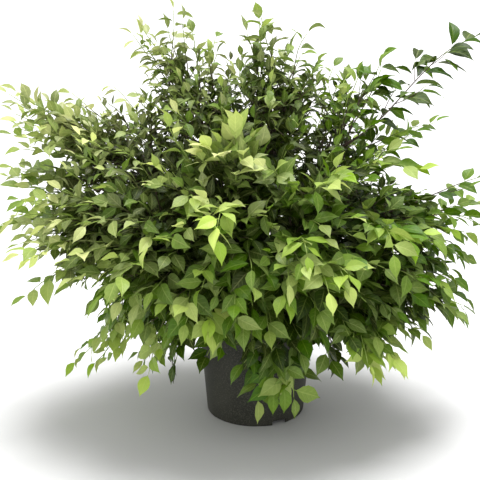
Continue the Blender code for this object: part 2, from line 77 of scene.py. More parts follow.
# Sprays: name, stem, share of the stem where it leaves, tip of its last leaf, pitch of its end in
# degrees above level, leaf length, and how much fresh growth it has from 0 to 1
SPRAYS = (
    # The top sprays and the upper right arch have little fresh growth, so their leaves come out dark green: partly
    # their own colour, partly painted shade for leaves seen against the light.
    ("right_upper_arch", "right_upper", 1.00, (0.57, 0.05, 0.955), 18, 0.068, 0.00),
    ("right_upper_side", "right_upper", 0.90, (0.32, 0.05, 0.930), 66, 0.062, 0.15),
    ("right_upper_fall", "right_upper", 0.78, (0.41, -0.16, 0.640), -12, 0.060, 0.75),
    ("right_far", "right", 1.00, (0.60, 0.00, 0.620), 12, 0.062, 0.15),
    ("right_mid", "right", 0.93, (0.56, -0.10, 0.480), -38, 0.064, 0.20),
    ("right_front", "right", 0.80, (0.34, -0.32, 0.480), -42, 0.058, 0.85),
    ("right_low_far", "right_low", 1.00, (0.52, -0.15, 0.275), -34, 0.062, 0.15),
    ("right_low_back", "right_low", 0.86, (0.44, -0.02, 0.240), -52, 0.064, 0.25),
    ("right_low_front", "right_low", 0.92, (0.35, -0.27, 0.200), -34, 0.070, 0.60),
    ("front_right_out", "front_right", 1.00, (0.20, -0.44, 0.420), -42, 0.066, 0.95),
    ("front_right_mid", "front_right", 0.88, (0.10, -0.46, 0.490), -48, 0.058, 0.85),
    ("front_right_trail", "front_right", 0.72, (0.036, -0.270, 0.098), -86, 0.078, 0.25),
    ("front_right_rise", "front_right", 0.94, (0.20, -0.36, 0.680), 14, 0.058, 0.80),
    ("front_rise", "front", 1.00, (-0.05, -0.32, 0.780), 22, 0.062, 0.60),
    ("front_mid", "front", 0.80, (-0.09, -0.49, 0.560), -44, 0.060, 0.85),
    ("front_low", "front", 0.76, (-0.115, -0.36, 0.315), -52, 0.068, 0.90),
    ("front_left_out", "front_left", 1.00, (-0.24, -0.40, 0.500), -38, 0.060, 0.70),
    ("front_left_trail", "front_left", 0.84, (-0.262, -0.22, 0.135), -76, 0.056, 0.60),
    ("front_left_low", "front_left", 0.92, (-0.33, -0.30, 0.345), -44, 0.062, 0.45),
    ("left_low", "left", 0.80, (-0.475, -0.13, 0.150), -30, 0.052, 0.40),
    ("left_fall", "left", 0.90, (-0.575, -0.16, 0.315), -44, 0.062, 0.25),
    ("left_front", "left", 0.95, (-0.560, -0.27, 0.460), -20, 0.056, 0.35),
    ("left_mid", "left", 1.00, (-0.650, -0.03, 0.480), -16, 0.060, 0.22),
    ("left_upper_mid", "left_upper", 0.84, (-0.645, 0.06, 0.620), 4, 0.058, 0.22),
    ("left_upper_tip", "left_upper", 1.00, (-0.635, 0.00, 0.835), 34, 0.060, 0.25),
    ("left_upper_rise", "left_upper", 0.93, (-0.50, 0.15, 0.825), 36, 0.058, 0.30),
    ("back_left_rise", "back_left", 1.00, (-0.41, 0.27, 0.825), 34, 0.056, 0.40),
    ("back_left_out", "back_left", 0.88, (-0.48, 0.30, 0.480), -24, 0.060, 0.35),
    ("back_left_low", "back_left", 0.78, (-0.27, 0.44, 0.390), -36, 0.060, 0.40),
    ("top_left_tip", "top_left", 1.00, (-0.20, 0.00, 1.045), 84, 0.052, 0.20),
    ("top_left_side", "top_left", 0.90, (-0.32, 0.05, 0.980), 56, 0.054, 0.25),
    ("top_left_inner", "top_left", 0.82, (-0.09, 0.04, 0.970), 50, 0.050, 0.25),
    ("top_right_tip", "top_right", 1.00, (0.00, -0.10, 1.035), 72, 0.060, 0.25),
    ("top_right_side", "top_right", 0.86, (0.14, -0.05, 0.985), 52, 0.054, 0.25),
    ("top_right_back", "top_right", 0.84, (0.21, 0.15, 0.900), 62, 0.056, 0.20),
    ("back_rise", "back", 1.00, (0.05, 0.36, 0.800), 38, 0.056, 0.40),
    ("back_mid", "back", 0.90, (-0.07, 0.49, 0.560), -22, 0.060, 0.45),
    ("back_low", "back", 0.80, (0.09, 0.48, 0.360), -42, 0.060, 0.45),
    ("back_right_far", "back_right", 1.00, (0.52, 0.24, 0.720), 14, 0.056, 0.35),
    ("back_right_mid", "back_right", 0.90, (0.50, 0.27, 0.450), -26, 0.060, 0.35),
    ("back_right_low", "back_right", 0.80, (0.30, 0.44, 0.420), -34, 0.060, 0.40),
    ("back_right_rise", "back_right", 0.86, (0.28, 0.33, 0.760), 30, 0.056, 0.40),
)
# Shoots in scene.py alone: stem, share of it where the shoot leaves, then as for a spray
EXTRA_SHOOTS = (
    ("left", 0.78, (-0.39, -0.08, 0.187), -38, 0.048, 0.55),
    ("left", 0.76, (-0.32, -0.02, 0.132), -48, 0.046, 0.50),
    ("left", 0.84, (-0.48, 0.04, 0.136), -30, 0.046, 0.30),
    ("back_left", 0.72, (-0.21, -0.02, 0.085), -84, 0.056, 0.00),
    ("left", 0.72, (-0.22, -0.12, 0.197), -70, 0.052, 0.20),
    ("right_low", 0.70, (0.19, -0.02, 0.085), -84, 0.058, 0.00),
    ("right_low", 0.84, (0.22, -0.20, 0.227), -46, 0.056, 0.60),
    ("front_right", 0.74, (0.14, -0.22, 0.245), -60, 0.058, 0.35),
    ("right_low", 0.88, (0.41, -0.16, 0.268), -40, 0.056, 0.30),
    ("left_upper", 0.92, (-0.64, 0.10, 0.763), 20, 0.050, 0.28),
    ("left_upper", 0.88, (-0.60, -0.12, 0.734), 14, 0.052, 0.30),
    ("left_upper", 0.80, (-0.63, -0.06, 0.615), 2, 0.052, 0.28),
    ("left", 0.96, (-0.65, 0.16, 0.526), 6, 0.050, 0.25),
    ("left", 0.90, (-0.59, -0.20, 0.536), -12, 0.054, 0.30),
    ("left", 0.86, (-0.63, 0.02, 0.416), -24, 0.054, 0.25),
    ("left_upper", 0.90, (-0.52, 0.02, 0.792), 30, 0.048, 0.35),
    ("right", 0.96, (0.59, 0.10, 0.528), 8, 0.052, 0.17),
    ("right", 0.94, (0.55, -0.04, 0.468), -14, 0.056, 0.17),
    ("right", 0.86, (0.57, 0.08, 0.368), -24, 0.056, 0.15),
    ("right", 0.84, (0.50, -0.14, 0.361), -38, 0.058, 0.17),
    ("right_low", 0.94, (0.56, 0.02, 0.252), -30, 0.058, 0.15),
    ("right_upper", 0.86, (0.43, 0.00, 0.741), 14, 0.046, 0.30),
    ("right_upper", 0.80, (0.36, -0.10, 0.689), 6, 0.050, 0.50),
    ("top_left", 0.86, (-0.08, 0.02, 0.934), 62, 0.046, 0.35),
    ("top_right", 0.84, (-0.07, 0.10, 0.887), 60, 0.046, 0.35),
    ("top_right", 0.80, (0.08, 0.06, 0.880), 56, 0.046, 0.30),
    ("right_upper", 0.84, (0.23, 0.08, 0.869), 66, 0.050, 0.30),
    ("right_upper", 0.92, (0.25, -0.06, 0.893), 66, 0.052, 0.35),
    ("top_left", 0.84, (-0.29, 0.02, 0.976), 66, 0.042, 0.35),
    ("top_left", 0.80, (-0.27, -0.04, 0.887), 50, 0.042, 0.35),
    ("front", 0.90, (-0.12, -0.36, 0.739), 20, 0.062, 0.85),
    ("front_right", 0.96, (0.01, -0.34, 0.689), 16, 0.060, 0.60),
    ("front_left", 0.96, (-0.13, -0.42, 0.628), -6, 0.060, 0.55),
    ("front_right", 0.92, (0.16, -0.42, 0.667), 6, 0.056, 0.40),
    ("front_left", 0.84, (-0.10, -0.37, 0.292), -58, 0.068, 0.80),
    ("front", 0.76, (-0.03, -0.36, 0.302), -50, 0.066, 0.50),
    ("front_right", 0.84, (0.06, -0.46, 0.430), -46, 0.062, 0.55),
    ("front_right", 0.90, (0.15, -0.47, 0.416), -44, 0.062, 0.75),
    ("front_right", 0.94, (0.20, -0.46, 0.471), -14, 0.060, 0.60),
    ("right_low", 0.84, (0.25, -0.36, 0.209), -56, 0.066, 0.75),
    ("right_low", 0.88, (0.32, -0.34, 0.222), -40, 0.062, 0.80),
    ("right", 0.84, (0.29, -0.38, 0.466), -60, 0.062, 0.50),
    ("right", 0.90, (0.34, -0.34, 0.508), -20, 0.058, 0.45),
    ("front_left", 0.92, (-0.08, -0.47, 0.522), -66, 0.058, 0.70),
    ("front_right", 0.96, (0.18, -0.34, 0.706), 40, 0.052, 0.30),
    ("left_upper", 0.96, (-0.60, -0.02, 0.834), 36, 0.048, 0.25),
    ("left_upper", 0.92, (-0.57, 0.02, 0.792), 26, 0.048, 0.25),
    ("left_upper", 0.86, (-0.60, -0.06, 0.758), 14, 0.050, 0.25),
    ("left_upper", 0.90, (-0.53, 0.00, 0.751), 22, 0.048, 0.25),
    ("front", 0.72, (-0.01, -0.34, 0.332), -60, 0.066, 0.30),
    ("front_right", 0.76, (0.085, -0.26, 0.085), -86, 0.066, 0.20),
    ("front_right", 0.74, (0.00, -0.25, 0.075), -86, 0.068, 0.25),
    ("front_right", 0.72, (0.06, -0.27, 0.117), -86, 0.066, 0.15),
    ("left", 0.80, (-0.25, -0.06, 0.110), -62, 0.052, 0.35),
    ("left", 0.74, (-0.25, -0.12, 0.197), -56, 0.054, 0.45),
    ("left", 0.86, (-0.40, -0.06, 0.137), -34, 0.048, 0.65),
    ("left", 0.84, (-0.42, -0.12, 0.145), -34, 0.046, 0.65),
    ("right_low", 0.90, (0.28, -0.25, 0.163), -48, 0.066, 0.75),
    ("right_low", 0.86, (0.34, -0.18, 0.184), -36, 0.062, 0.80),
    ("right_low", 0.80, (0.24, -0.27, 0.254), -44, 0.064, 0.80),
    ("top_left", 0.88, (-0.25, 0.00, 0.958), 66, 0.048, 0.30),
    ("top_left", 0.90, (-0.16, 0.05, 0.985), 70, 0.048, 0.30),
    ("top_left", 0.84, (-0.12, 0.03, 0.934), 58, 0.046, 0.35),
    ("top_right", 0.90, (-0.03, -0.02, 0.959), 68, 0.052, 0.25),
    ("top_right", 0.86, (0.10, -0.03, 0.950), 58, 0.052, 0.25),
    ("right_upper", 0.96, (0.31, 0.02, 0.911), 74, 0.060, 0.20),
    ("right_upper", 0.96, (0.28, 0.06, 0.870), 60, 0.056, 0.20),
    ("left", 0.92, (-0.56, -0.18, 0.573), -6, 0.056, 0.30),
    ("left_upper", 0.94, (-0.56, -0.06, 0.740), 18, 0.052, 0.30),
    ("right", 0.90, (0.50, -0.14, 0.526), -14, 0.060, 0.20),
    ("right_low", 0.92, (0.50, -0.14, 0.271), -40, 0.060, 0.17),
    ("right", 0.88, (0.43, -0.22, 0.480), -26, 0.060, 0.45),
    ("front", 0.94, (-0.14, -0.34, 0.723), 20, 0.056, 0.70),
    ("front", 0.98, (-0.05, -0.36, 0.788), 40, 0.064, 0.60),
    ("front", 0.96, (-0.09, -0.38, 0.717), 8, 0.058, 0.65),
    ("front_right", 0.98, (-0.01, -0.40, 0.696), 6, 0.062, 0.60),
    ("front", 0.92, (-0.03, -0.39, 0.735), 24, 0.062, 0.60),
    ("left_upper", 0.95, (-0.61, 0.00, 0.799), 26, 0.050, 0.25),
    ("left_upper", 0.88, (-0.62, 0.05, 0.725), 12, 0.050, 0.20),
    ("left_upper", 0.82, (-0.60, -0.05, 0.686), 6, 0.052, 0.30),
    ("left", 0.97, (-0.61, 0.00, 0.619), 8, 0.052, 0.25),
    ("left", 0.93, (-0.60, -0.08, 0.590), -4, 0.054, 0.30),
    ("left", 0.91, (-0.58, -0.15, 0.567), -14, 0.054, 0.25),
    ("left", 0.89, (-0.61, -0.04, 0.498), -18, 0.054, 0.25),
    ("left", 0.84, (-0.56, -0.18, 0.479), -34, 0.054, 0.30),
    ("right", 0.92, (0.53, -0.05, 0.425), -12, 0.056, 0.20),
    ("right", 0.85, (0.50, -0.10, 0.379), -30, 0.056, 0.20),
    ("right_low", 0.95, (0.53, -0.10, 0.313), -30, 0.056, 0.15),
    ("front_left", 0.76, (-0.21, -0.10, 0.116), -76, 0.054, 0.10),
    ("left", 0.74, (-0.30, -0.06, 0.115), -60, 0.050, 0.30),
    ("top_left", 0.96, (-0.18, -0.02, 1.014), 82, 0.044, 0.25),
    ("top_left", 0.93, (-0.22, 0.02, 0.990), 74, 0.042, 0.20),
    ("top_left", 0.89, (-0.29, 0.02, 0.990), 58, 0.042, 0.20),
    ("top_right", 0.97, (0.00, -0.08, 1.021), 80, 0.050, 0.60),
    ("top_right", 0.94, (-0.04, -0.04, 0.989), 66, 0.050, 0.15),
    ("top_right", 0.92, (0.03, -0.06, 0.979), 60, 0.048, 0.15),
)
# How some sprays differ: leaf length for a length of one, leaf spacing, side twig spacing, and
# how their leaves stand: in the usual way, level to the left and right, or upright
PLAIN_HABIT = (1.0, None, 0.058, "usual")
HABITS = {
    "right_upper_arch": (1.14, 0.020, 0.062, "level"),
    "right_upper_side": (1.00, 0.020, 0.070, "level"),
    "right_far": (0.90, 0.026, 0.090, "usual"),
    "top_left_tip": (0.95, 0.013, 0.050, "level"),
    "top_left_side": (0.92, 0.015, 0.060, "level"),
    "top_left_inner": (0.90, 0.015, 0.055, "level"),
    "top_right_tip": (1.05, 0.019, 0.070, "level"),
    "top_right_side": (1.00, 0.018, 0.065, "level"),
    "top_right_back": (0.95, 0.018, 0.065, "level"),
    "left_upper_tip": (0.80, 0.018, 0.058, "level"),
    "left_upper_rise": (0.80, 0.018, 0.058, "level"),
    "back_left_rise": (0.78, 0.018, 0.058, "level"),
    "front_rise": (1.10, 0.016, 0.075, "upright"),
    "front_right_trail": (0.92, 0.0140, 0.090, "usual"),
}
# Routes: as in the solids
SOIL_TOP = 0.258
STEM_SUNK = 0.050
STEM_STRAIGHT = 0.060
STEM_SHOULDER = 0.400
WOOD_END_RADIUS = 0.0032
LEAST_PARTING = math.radians(40.0)
STUB_LENGTH = 0.034
LAST_LEAF_SHARE = 0.8

# Crown outline: height, sideways middle and half width of the dense foliage
CROWN_OUTLINE = np.array((
    (0.20, 0.00, 0.30), (0.26, 0.06, 0.39), (0.32, 0.05, 0.45), (0.39, 0.00, 0.51), (0.46, -0.04, 0.54),
    (0.55, -0.06, 0.50), (0.64, -0.09, 0.45), (0.72, -0.09, 0.41), (0.79, -0.08, 0.33), (0.86, 0.02, 0.25),
    (0.91, 0.00, 0.14),
))

# Blade rows along a leaf, as shares of its blade; below 0 is the stalk
BLADE_ROWS = np.array((-0.13, -0.05, 0.01, 0.08, 0.19, 0.32, 0.46, 0.60, 0.73, 0.85, 0.94, 1.0))
PLAIN_ROWS = np.array((-0.13, -0.03, 0.03, 0.14, 0.32, 0.52, 0.72, 0.88, 1.0))
SMALL_ROWS = np.array((-0.13, -0.02, 0.10, 0.34, 0.60, 0.82, 1.0))
WIDEST = 0.40
GOLDEN_TURN = math.radians(137.5)
SIDEWAYS_FACE = Vector((0.0, -1.0, 0.15))
SMALL_LEAF = 0.046


def linear(code, alpha=None):
    """An sRGB hex colour as linear values."""
    parts = [int(code[i : i + 2], 16) / 255 for i in (1, 3, 5)]
    made = [p / 12.92 if p <= 0.04045 else ((p + 0.055) / 1.055) ** 2.4 for p in parts]
    return made if alpha is None else (*made, alpha)


def colour_property(name, code, words):
    return FloatVectorProperty(
        name=name, description=words, subtype="COLOR", size=3, min=0.0, max=1.0, default=linear(code)
    )


def length_property(name, value, words):
    return FloatProperty(name=name, description=words, default=value, min=0.0, unit="LENGTH")


class PotSettings(bpy.types.PropertyGroup):
    height: length_property("Height", 0.285, "Height of the pot")
    foot_radius: length_property("Foot radius", 0.1235, "Outside radius at the foot")
    top_radius: length_property("Top radius", 0.1480, "Radius of the wall at the rim")
    wall: length_property("Wall", 0.0022, "Thickness of the moulded wall")
    rim_proud: length_property("Rim stands proud", 0.0045, "How far the rim stands out from the wall")
    rim_depth: length_property("Rim depth", 0.020, "Height of the rim's band")
    notch_width: length_property("Notch width", 0.039, "Width of a drainage notch")
    notch_height: length_property("Notch height", 0.013, "Height of a drainage notch")
    colour: colour_property("Plastic", "#26271F", "Colour of the recycled plastic")
    dust: colour_property("Dust", "#55544A", "Colour of dust and dried splashes on the plastic")


class MixSettings(bpy.types.PropertyGroup):
    crown: length_property("Crown", 0.006, "How much the filling rises to its middle")
    lump: length_property("Lump", 0.004, "Height of the crumbs")
    chips: IntProperty(name="Chips", description="Number of bark chips on top", default=320, min=0)
    dark: colour_property("Damp mix", "#1E1712", "Colour of the damp crumbs")
    light: colour_property("Dry mix", "#4A392A", "Colour of the dry crumbs")


class WoodSettings(bpy.types.PropertyGroup):
    step: length_property("Step", 0.012, "Distance between a stem's rings")
    twig_radius: length_property("Twig radius", 0.0021, "Radius of a spray's twig where it starts")
    tip_radius: length_property("Tip radius", 0.0008, "Radius of a twig at its tip")
    old: colour_property("Old bark", "#62564A", "Colour of the stems")
    young: colour_property("Young bark", "#54443A", "Colour of the thin side shoots")
    green: colour_property("Green twig", "#7E9440", "Colour of this year's twigs")


class LeafSettings(bpy.types.PropertyGroup):
    spacing: length_property("Spacing", 0.0200, "Distance between leaves along a twig")
    width_share: FloatProperty(name="Width", description="Width for a length of one", default=0.59)
    fold: FloatProperty(
        name="Fold", description="Rise of each half", default=math.radians(22), subtype="ANGLE"
    )
    recurve: FloatProperty(
        name="Curl back", description="Bend along the blade", default=math.radians(34), subtype="ANGLE"
    )
    # The old colour is also where deep inner leaves and top leaves are pushed as painted shade.
    old: colour_property("Old leaf", "#2D3F0A", "Colour of the oldest leaves")
    grown: colour_property("Grown leaf", "#5C7B2B", "Colour of most leaves")
    young: colour_property("Young leaf", "#97AF55", "Colour of soft leaves")
    newest: colour_property("Newest leaf", "#A8C653", "Colour of the newest leaves at the tips")


class CrownSettings(bpy.types.PropertyGroup):
    tries: IntProperty(name="Tries", description="Places tried for an inner shoot", default=2300, min=0)
    depth_share: FloatProperty(name="Depth", description="Depth for a width of one", default=0.86, min=0.1)
    hollow: FloatProperty(name="Hollow", description="Share of the middle left open", default=0.34, min=0.0)


class StageSettings(bpy.types.PropertyGroup):
    floor: colour_property("Floor", "#D0D0D0", "Colour of the floor")
    wall: FloatProperty(name="Wall", description="Strength of the light from the pale walls", default=1.0)
    ceiling: FloatProperty(name="Ceiling", description="Strength of the light from above them", default=0.96)
    key: FloatProperty(name="Key", description="Strength of the soft light overhead", default=4.5)
    lean: FloatProperty(name="Lean", description="How much more light comes from front left", default=0.65)
    spread: FloatProperty(
        name="Spread", description="Spread of the soft light", default=math.radians(34), subtype="ANGLE"
    )


# Numbers, routes and shapes


def draw(low, high, *key):
    """A number between low and high that depends only on its key."""
    return low + (high - low) * random.Random("/".join(map(str, key))).random()


def bezier(p0, p1, p2, p3, count=60):
    points = []
    for i in range(count + 1):
        t = i / count
        s = 1.0 - t
        points.append(p0 * s**3 + p1 * (3 * s * s * t) + p2 * (3 * s * t * t) + p3 * t**3)
    return points


class Route:
    """A way through points, read by the distance along it."""

    def __init__(self, points):
        self.points = np.array([tuple(p) for p in points])
        steps = np.linalg.norm(np.diff(self.points, axis=0), axis=1)
        self.reach = np.concatenate(([0.0], np.cumsum(steps)))
        self.length = float(self.reach[-1])

    def rows(self, distances):
        return np.stack([np.interp(distances, self.reach, self.points[:, k]) for k in range(3)], 1)

    def at(self, distance):
        return Vector(self.rows([distance])[0])

    def along(self, distance):
        low, high = max(distance - 0.004, 0.0), min(distance + 0.004, self.length)
        return (self.at(high) - self.at(low)).normalized()


def stem_route(stem):
    """Straight out of the mix, up past the rim, then over to the stem's end."""
    _, angle_deg, radius, end, _ = stem
    angle = math.radians(angle_deg)
    foot = Vector((radius * math.cos(angle), radius * math.sin(angle), SOIL_TOP - STEM_SUNK))
    collar = foot + UP * STEM_STRAIGHT
    end = Vector(end)
    shoulder = Vector((collar.x * 1.1, collar.y * 1.1, max(STEM_SHOULDER, 0.55 * end.z + 0.12)))
    reach = end - shoulder
    approach = end - Vector((reach.x, reach.y, 0.55 * reach.z)) * 0.45
    return Route([foot] + bezier(collar, shoulder, approach, end, 80))


def parting(leaving, towards, least):
    """A direction that turns from one way towards another, by a least angle."""
    sideways = (towards - leaving * towards.dot(leaving)).normalized()
    angle = max(least, 0.8 * leaving.angle(towards))
    return leaving * math.cos(angle) + sideways * math.sin(angle)


def spray_route(spray, stems):
    """Leaves the stem at an angle and curves over to its tip."""
    _, owner, share, tip, pitch_deg, leaf, _ = spray
    stem = stems[owner]
    start = stem.at(share * stem.length)
    to_tip = (Vector(tip) - start).normalized()
    level = Vector((to_tip.x, to_tip.y, 0.0)).normalized()
    pitch = math.radians(pitch_deg)
    arriving = level * math.cos(pitch) + UP * math.sin(pitch)
    tip = Vector(tip) - arriving * (LAST_LEAF_SHARE * leaf)
    leaving = stem.along(share * stem.length)
    if share < 1.0:
        leaving = parting(leaving, to_tip, LEAST_PARTING)
    pull = 0.36 * (tip - start).length
    return Route(bezier(start, start + leaving * pull, tip - arriving * pull, tip, 80))


def tube_data(points, radii, sides):
    """Corners, faces and (round, along) map of a round tube with closed ends."""
    points = np.asarray(points, float)
    radii = np.asarray(radii, float)
    way = np.gradient(points, axis=0)
    way /= np.linalg.norm(way, axis=1)[:, None]
    chord = points[-1] - points[0]
    guide = np.eye(3)[np.argmin(np.abs(chord))]
    across = np.cross(way, np.cross(chord, guide))
    across /= np.linalg.norm(across, axis=1)[:, None]
    other = np.cross(way, across)
    turn = np.linspace(0, 2 * np.pi, sides, endpoint=False)
    ring = across[:, None] * np.cos(turn)[None, :, None] + other[:, None] * np.sin(turn)[None, :, None]
    corners = (points[:, None] + ring * radii[:, None, None]).reshape(-1, 3)
    along = np.concatenate(([0], np.cumsum(np.linalg.norm(np.diff(points, axis=0), axis=1))))
    chart = np.stack(
        [np.tile(turn * radii.max(), len(points)), np.repeat(along, sides)], axis=1
    )
    faces = []
    for i in range(len(points) - 1):
        for j in range(sides):
            a, b = i * sides + j, i * sides + (j + 1) % sides
            faces.append((a, b, b + sides, a + sides))
    last = (len(points) - 1) * sides
    faces.append(tuple(range(sides))[::-1])
    faces.append(tuple(range(last, last + sides)))
    return corners, faces, chart


def fullness(rows):
    """Half-width of a leaf along its length: a thin stalk, a rounded base and a drawn-out tip."""
    swell = np.sin(0.5 * np.pi * np.clip(rows / WIDEST, 0, 1) ** 0.74)
    taper = np.cos(0.5 * np.pi * np.clip((rows - WIDEST) / (1 - WIDEST), 0, 1)) ** 1.7
    return np.maximum(swell * taper, 0.035)


def leaf_data(leaves, rows, columns, settings, rng):
    """Corners, faces, map, ages and tones of many leaves at once; the tones carry painted light and shade by place.
    """
    count = len(leaves)
    at, pointing, facing = (np.array([tuple(leaf[k]) for leaf in leaves]) for k in range(3))
    length = np.array([leaf[3] for leaf in leaves]) * 0.90
    side = np.cross(pointing, facing)
    share = np.clip(rows, 0, 1)
    bend = np.array([leaf[5] for leaf in leaves])
    curl = settings.recurve * bend * rng.normal(1.0, 0.34, count)
    angle = curl[:, None] * (share[None] ** 1.25 - 0.42)
    step = np.diff(rows, prepend=rows[0])[None] * length[:, None]
    middle = 0.5 * (angle + np.concatenate((angle[:, :1], angle[:, :-1]), axis=1))
    run = np.cumsum(np.cos(middle) * step, axis=1)
    fall = np.cumsum(np.sin(middle) * step, axis=1)
    level = facing[:, None] * np.cos(angle)[..., None] + pointing[:, None] * np.sin(angle)[..., None]
    spine = at[:, None] + pointing[:, None] * run[..., None] - facing[:, None] * fall[..., None]
    across = np.linspace(-1, 1, columns)
    half = fullness(rows)[None] * length[:, None] * settings.width_share / 2
    half = half * (rng.normal(1.0, 0.07, count) * (1.12 - 0.12 * bend))[:, None]
    fold = settings.fold * (bend * rng.normal(1.0, 0.40, count))[:, None] * (1 - 0.3 * share[None])
    twist = rng.normal(0.0, 0.22, count)[:, None] * share[None]
    flat = half[..., None] * across[None, None] * np.cos(fold)[..., None]
    rise = half[..., None] * (np.abs(across) - 0.42 * across**2)[None, None] * np.sin(fold)[..., None]
    phase = rng.uniform(0, 2 * np.pi, (count, 1, 1))
    ripple = np.sin(phase + 9.5 * share[None, :, None] + 1.3 * np.sign(across)[None, None])
    rise = rise + 0.085 * half[..., None] * across[None, None] ** 2 * ripple
    turned = side[:, None] * np.cos(twist)[..., None] + level * np.sin(twist)[..., None]
    lifted = level * np.cos(twist)[..., None] - side[:, None] * np.sin(twist)[..., None]
    corners = (
        spine[:, :, None]
        + turned[:, :, None] * flat[..., None]
        + lifted[:, :, None] * rise[..., None]
    )
    chart = np.zeros((count, len(rows), columns, 2))
    chart[..., 0] = (across[None, None] + 1) / 2
    chart[..., 1] = rows[None, :, None]
    first = (np.arange(count) * len(rows) * columns)[:, None]
    cell = np.array([i * columns + j for i in range(len(rows) - 1) for j in range(columns - 1)])
    corner = np.array((0, 1, columns + 1, columns))
    faces = (first[:, :, None] + cell[None, :, None] + corner[None, None]).reshape(-1, 4)
    per_leaf = len(rows) * columns
    ages = np.repeat(np.array([leaf[4] for leaf in leaves]), per_leaf)
    # Painted light and shade: leaves on the left, near the top, and at the front just above the middle are made
    # lighter, as if more lit and glossed by the sky; low leaves on the left and in the middle, and the upper right,
    # are made darker, as if in shade.
    painted_light_and_shade = np.interp(at[:, 0], (-0.62, -0.46, -0.15, 0.10, 0.35), (0.05, 0.45, 0.12, 0.0, -0.10))
    painted_light_and_shade *= np.interp(at[:, 2], (0.32, 0.46), (0.2, 1.0))
    painted_light_and_shade += np.interp(at[:, 2], (0.25, 0.45, 0.60, 0.90), (-0.12, 0.0, 0.02, 0.36)) * np.interp(at[:, 0], (0.10, 0.35), (1.0, -0.4))
    front = np.interp(at[:, 1], (-0.34, -0.22), (0.40, 0.0)) * np.interp(at[:, 0], (-0.20, -0.10, 0.02, 0.12), (0.0, 1.0, 0.8, 0.0))
    painted_light_and_shade += front * np.interp(at[:, 2], (0.56, 0.66), (0.0, 1.0))
    # A leaf's tone is a random part plus this painted light and shade.
    tones_and_painted_light = np.repeat(rng.uniform(0.15, 0.85, count) + painted_light_and_shade, per_leaf)
    return corners.reshape(-1, 3), faces.tolist(), chart.reshape(-1, 2), ages, tones_and_painted_light


class Growth:
    """Leaves and twigs of one piece, gathered and then made into one mesh."""

    def __init__(self, name):
        self.name = name
        self.leaves = []
        self.twigs = []

    def add_twig(self, points, radii, ages, sides=6):
        self.twigs.append((points, radii, ages, sides))

    def add_leaf(self, at, pointing, facing, length, age, bend):
        self.leaves.append((at, pointing, facing, length, age, bend))

    def object(self, rows, columns, materials):
        """The piece: its leaves have the first material and its twigs the second."""
        settings = bpy.context.scene.snowbell_leaf
        rng = np.random.default_rng(random.Random(self.name).getrandbits(32))
        large = [leaf for leaf in self.leaves if leaf[3] >= SMALL_LEAF]
        small = [leaf for leaf in self.leaves if leaf[3] < SMALL_LEAF]
        made = [leaf_data(large, rows, columns, settings, rng)] if large else []
        made += [leaf_data(small, SMALL_ROWS, 3, settings, rng)] if small else []
        slots = [0] * sum(len(group[1]) for group in made)
        for points, radii, ages, sides in self.twigs:
            corners, faces, chart = tube_data(points, radii, sides)
            ages = np.repeat(np.asarray(ages, float), sides)
            made.append((corners, faces, chart, ages, np.full(len(corners), 0.5)))
            slots += [1] * len(faces)
        every, total = [], 0
        for corners, faces, *_ in made:
            every += [tuple(i + total for i in face) for face in faces]
            total += len(corners)
        corners, _, chart, ages, tones_and_painted_light = (
            np.concatenate([group[k] for group in made]) if k != 1 else None for k in range(5)
        )
        mesh = bpy.data.meshes.new(self.name)
        mesh.from_pydata(corners.tolist(), [], every)
        return dressed_mesh(self.name, mesh, chart, ages, tones_and_painted_light, slots, materials)


def dressed_mesh(name, mesh, chart, ages, tones_and_painted_light, slots, materials):
    """An object of a mesh with its map, ages, tones and materials; on leaves the ages and tones also carry painted
    light and shade.
    """
    loops = np.zeros(len(mesh.loops), dtype=np.int32)
    mesh.loops.foreach_get("vertex_index", loops)
    layer = mesh.uv_layers.new(name="chart")
    layer.data.foreach_set("uv", chart[loops].astype(np.float32).ravel())
    for label, values in (("age", ages), ("tone_and_painted_light", tones_and_painted_light)):
        attribute = mesh.attributes.new(label, "FLOAT", "POINT")
        attribute.data.foreach_set("value", values.astype(np.float32))
    for material in materials:
        mesh.materials.append(material)
    mesh.polygons.foreach_set("material_index", np.array(slots, dtype=np.int32))
    mesh.polygons.foreach_set("use_smooth", np.ones(len(mesh.polygons), dtype=bool))
    mesh.update()
    made = bpy.data.objects.new(name, mesh)
    bpy.context.scene.collection.objects.link(made)
    return made


def fit_in(piece, slot, *nodes):
    """The piece rides on the frame's one body, and stands for its nodes."""
    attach(piece, "root")
    if nodes:
        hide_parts(*nodes)


# Growth


def crown_at(height):
    """Sideways middle and half width of the crown at a height."""
    middle = np.interp(height, CROWN_OUTLINE[:, 0], CROWN_OUTLINE[:, 1])
    half = np.interp(height, CROWN_OUTLINE[:, 0], CROWN_OUTLINE[:, 2])
    return float(middle), float(half)


def shade_at(at):
    """How deep a place lies in the crown, from 0 at its skin to 1 and fading out near the top: how much painted shade
    darkens a leaf there.
    """
    middle, half = crown_at(at.z)
    depth = math.hypot((at.x - middle) / half, at.y / (half * bpy.context.scene.snowbell_crown.depth_share))
    return share_of(-depth, -0.98, -0.55) * share_of(-at.z, -0.86, -0.66)


def away(at, height=0.40):
    """The way out of the crown's heart."""
    return (at - Vector((-0.03, 0.0, height))).normalized()


def share_of(value, low, high):
    """How far a value is from low to high, kept from 0 to 1."""
    return min(max((value - low) / (high - low), 0.0), 1.0)


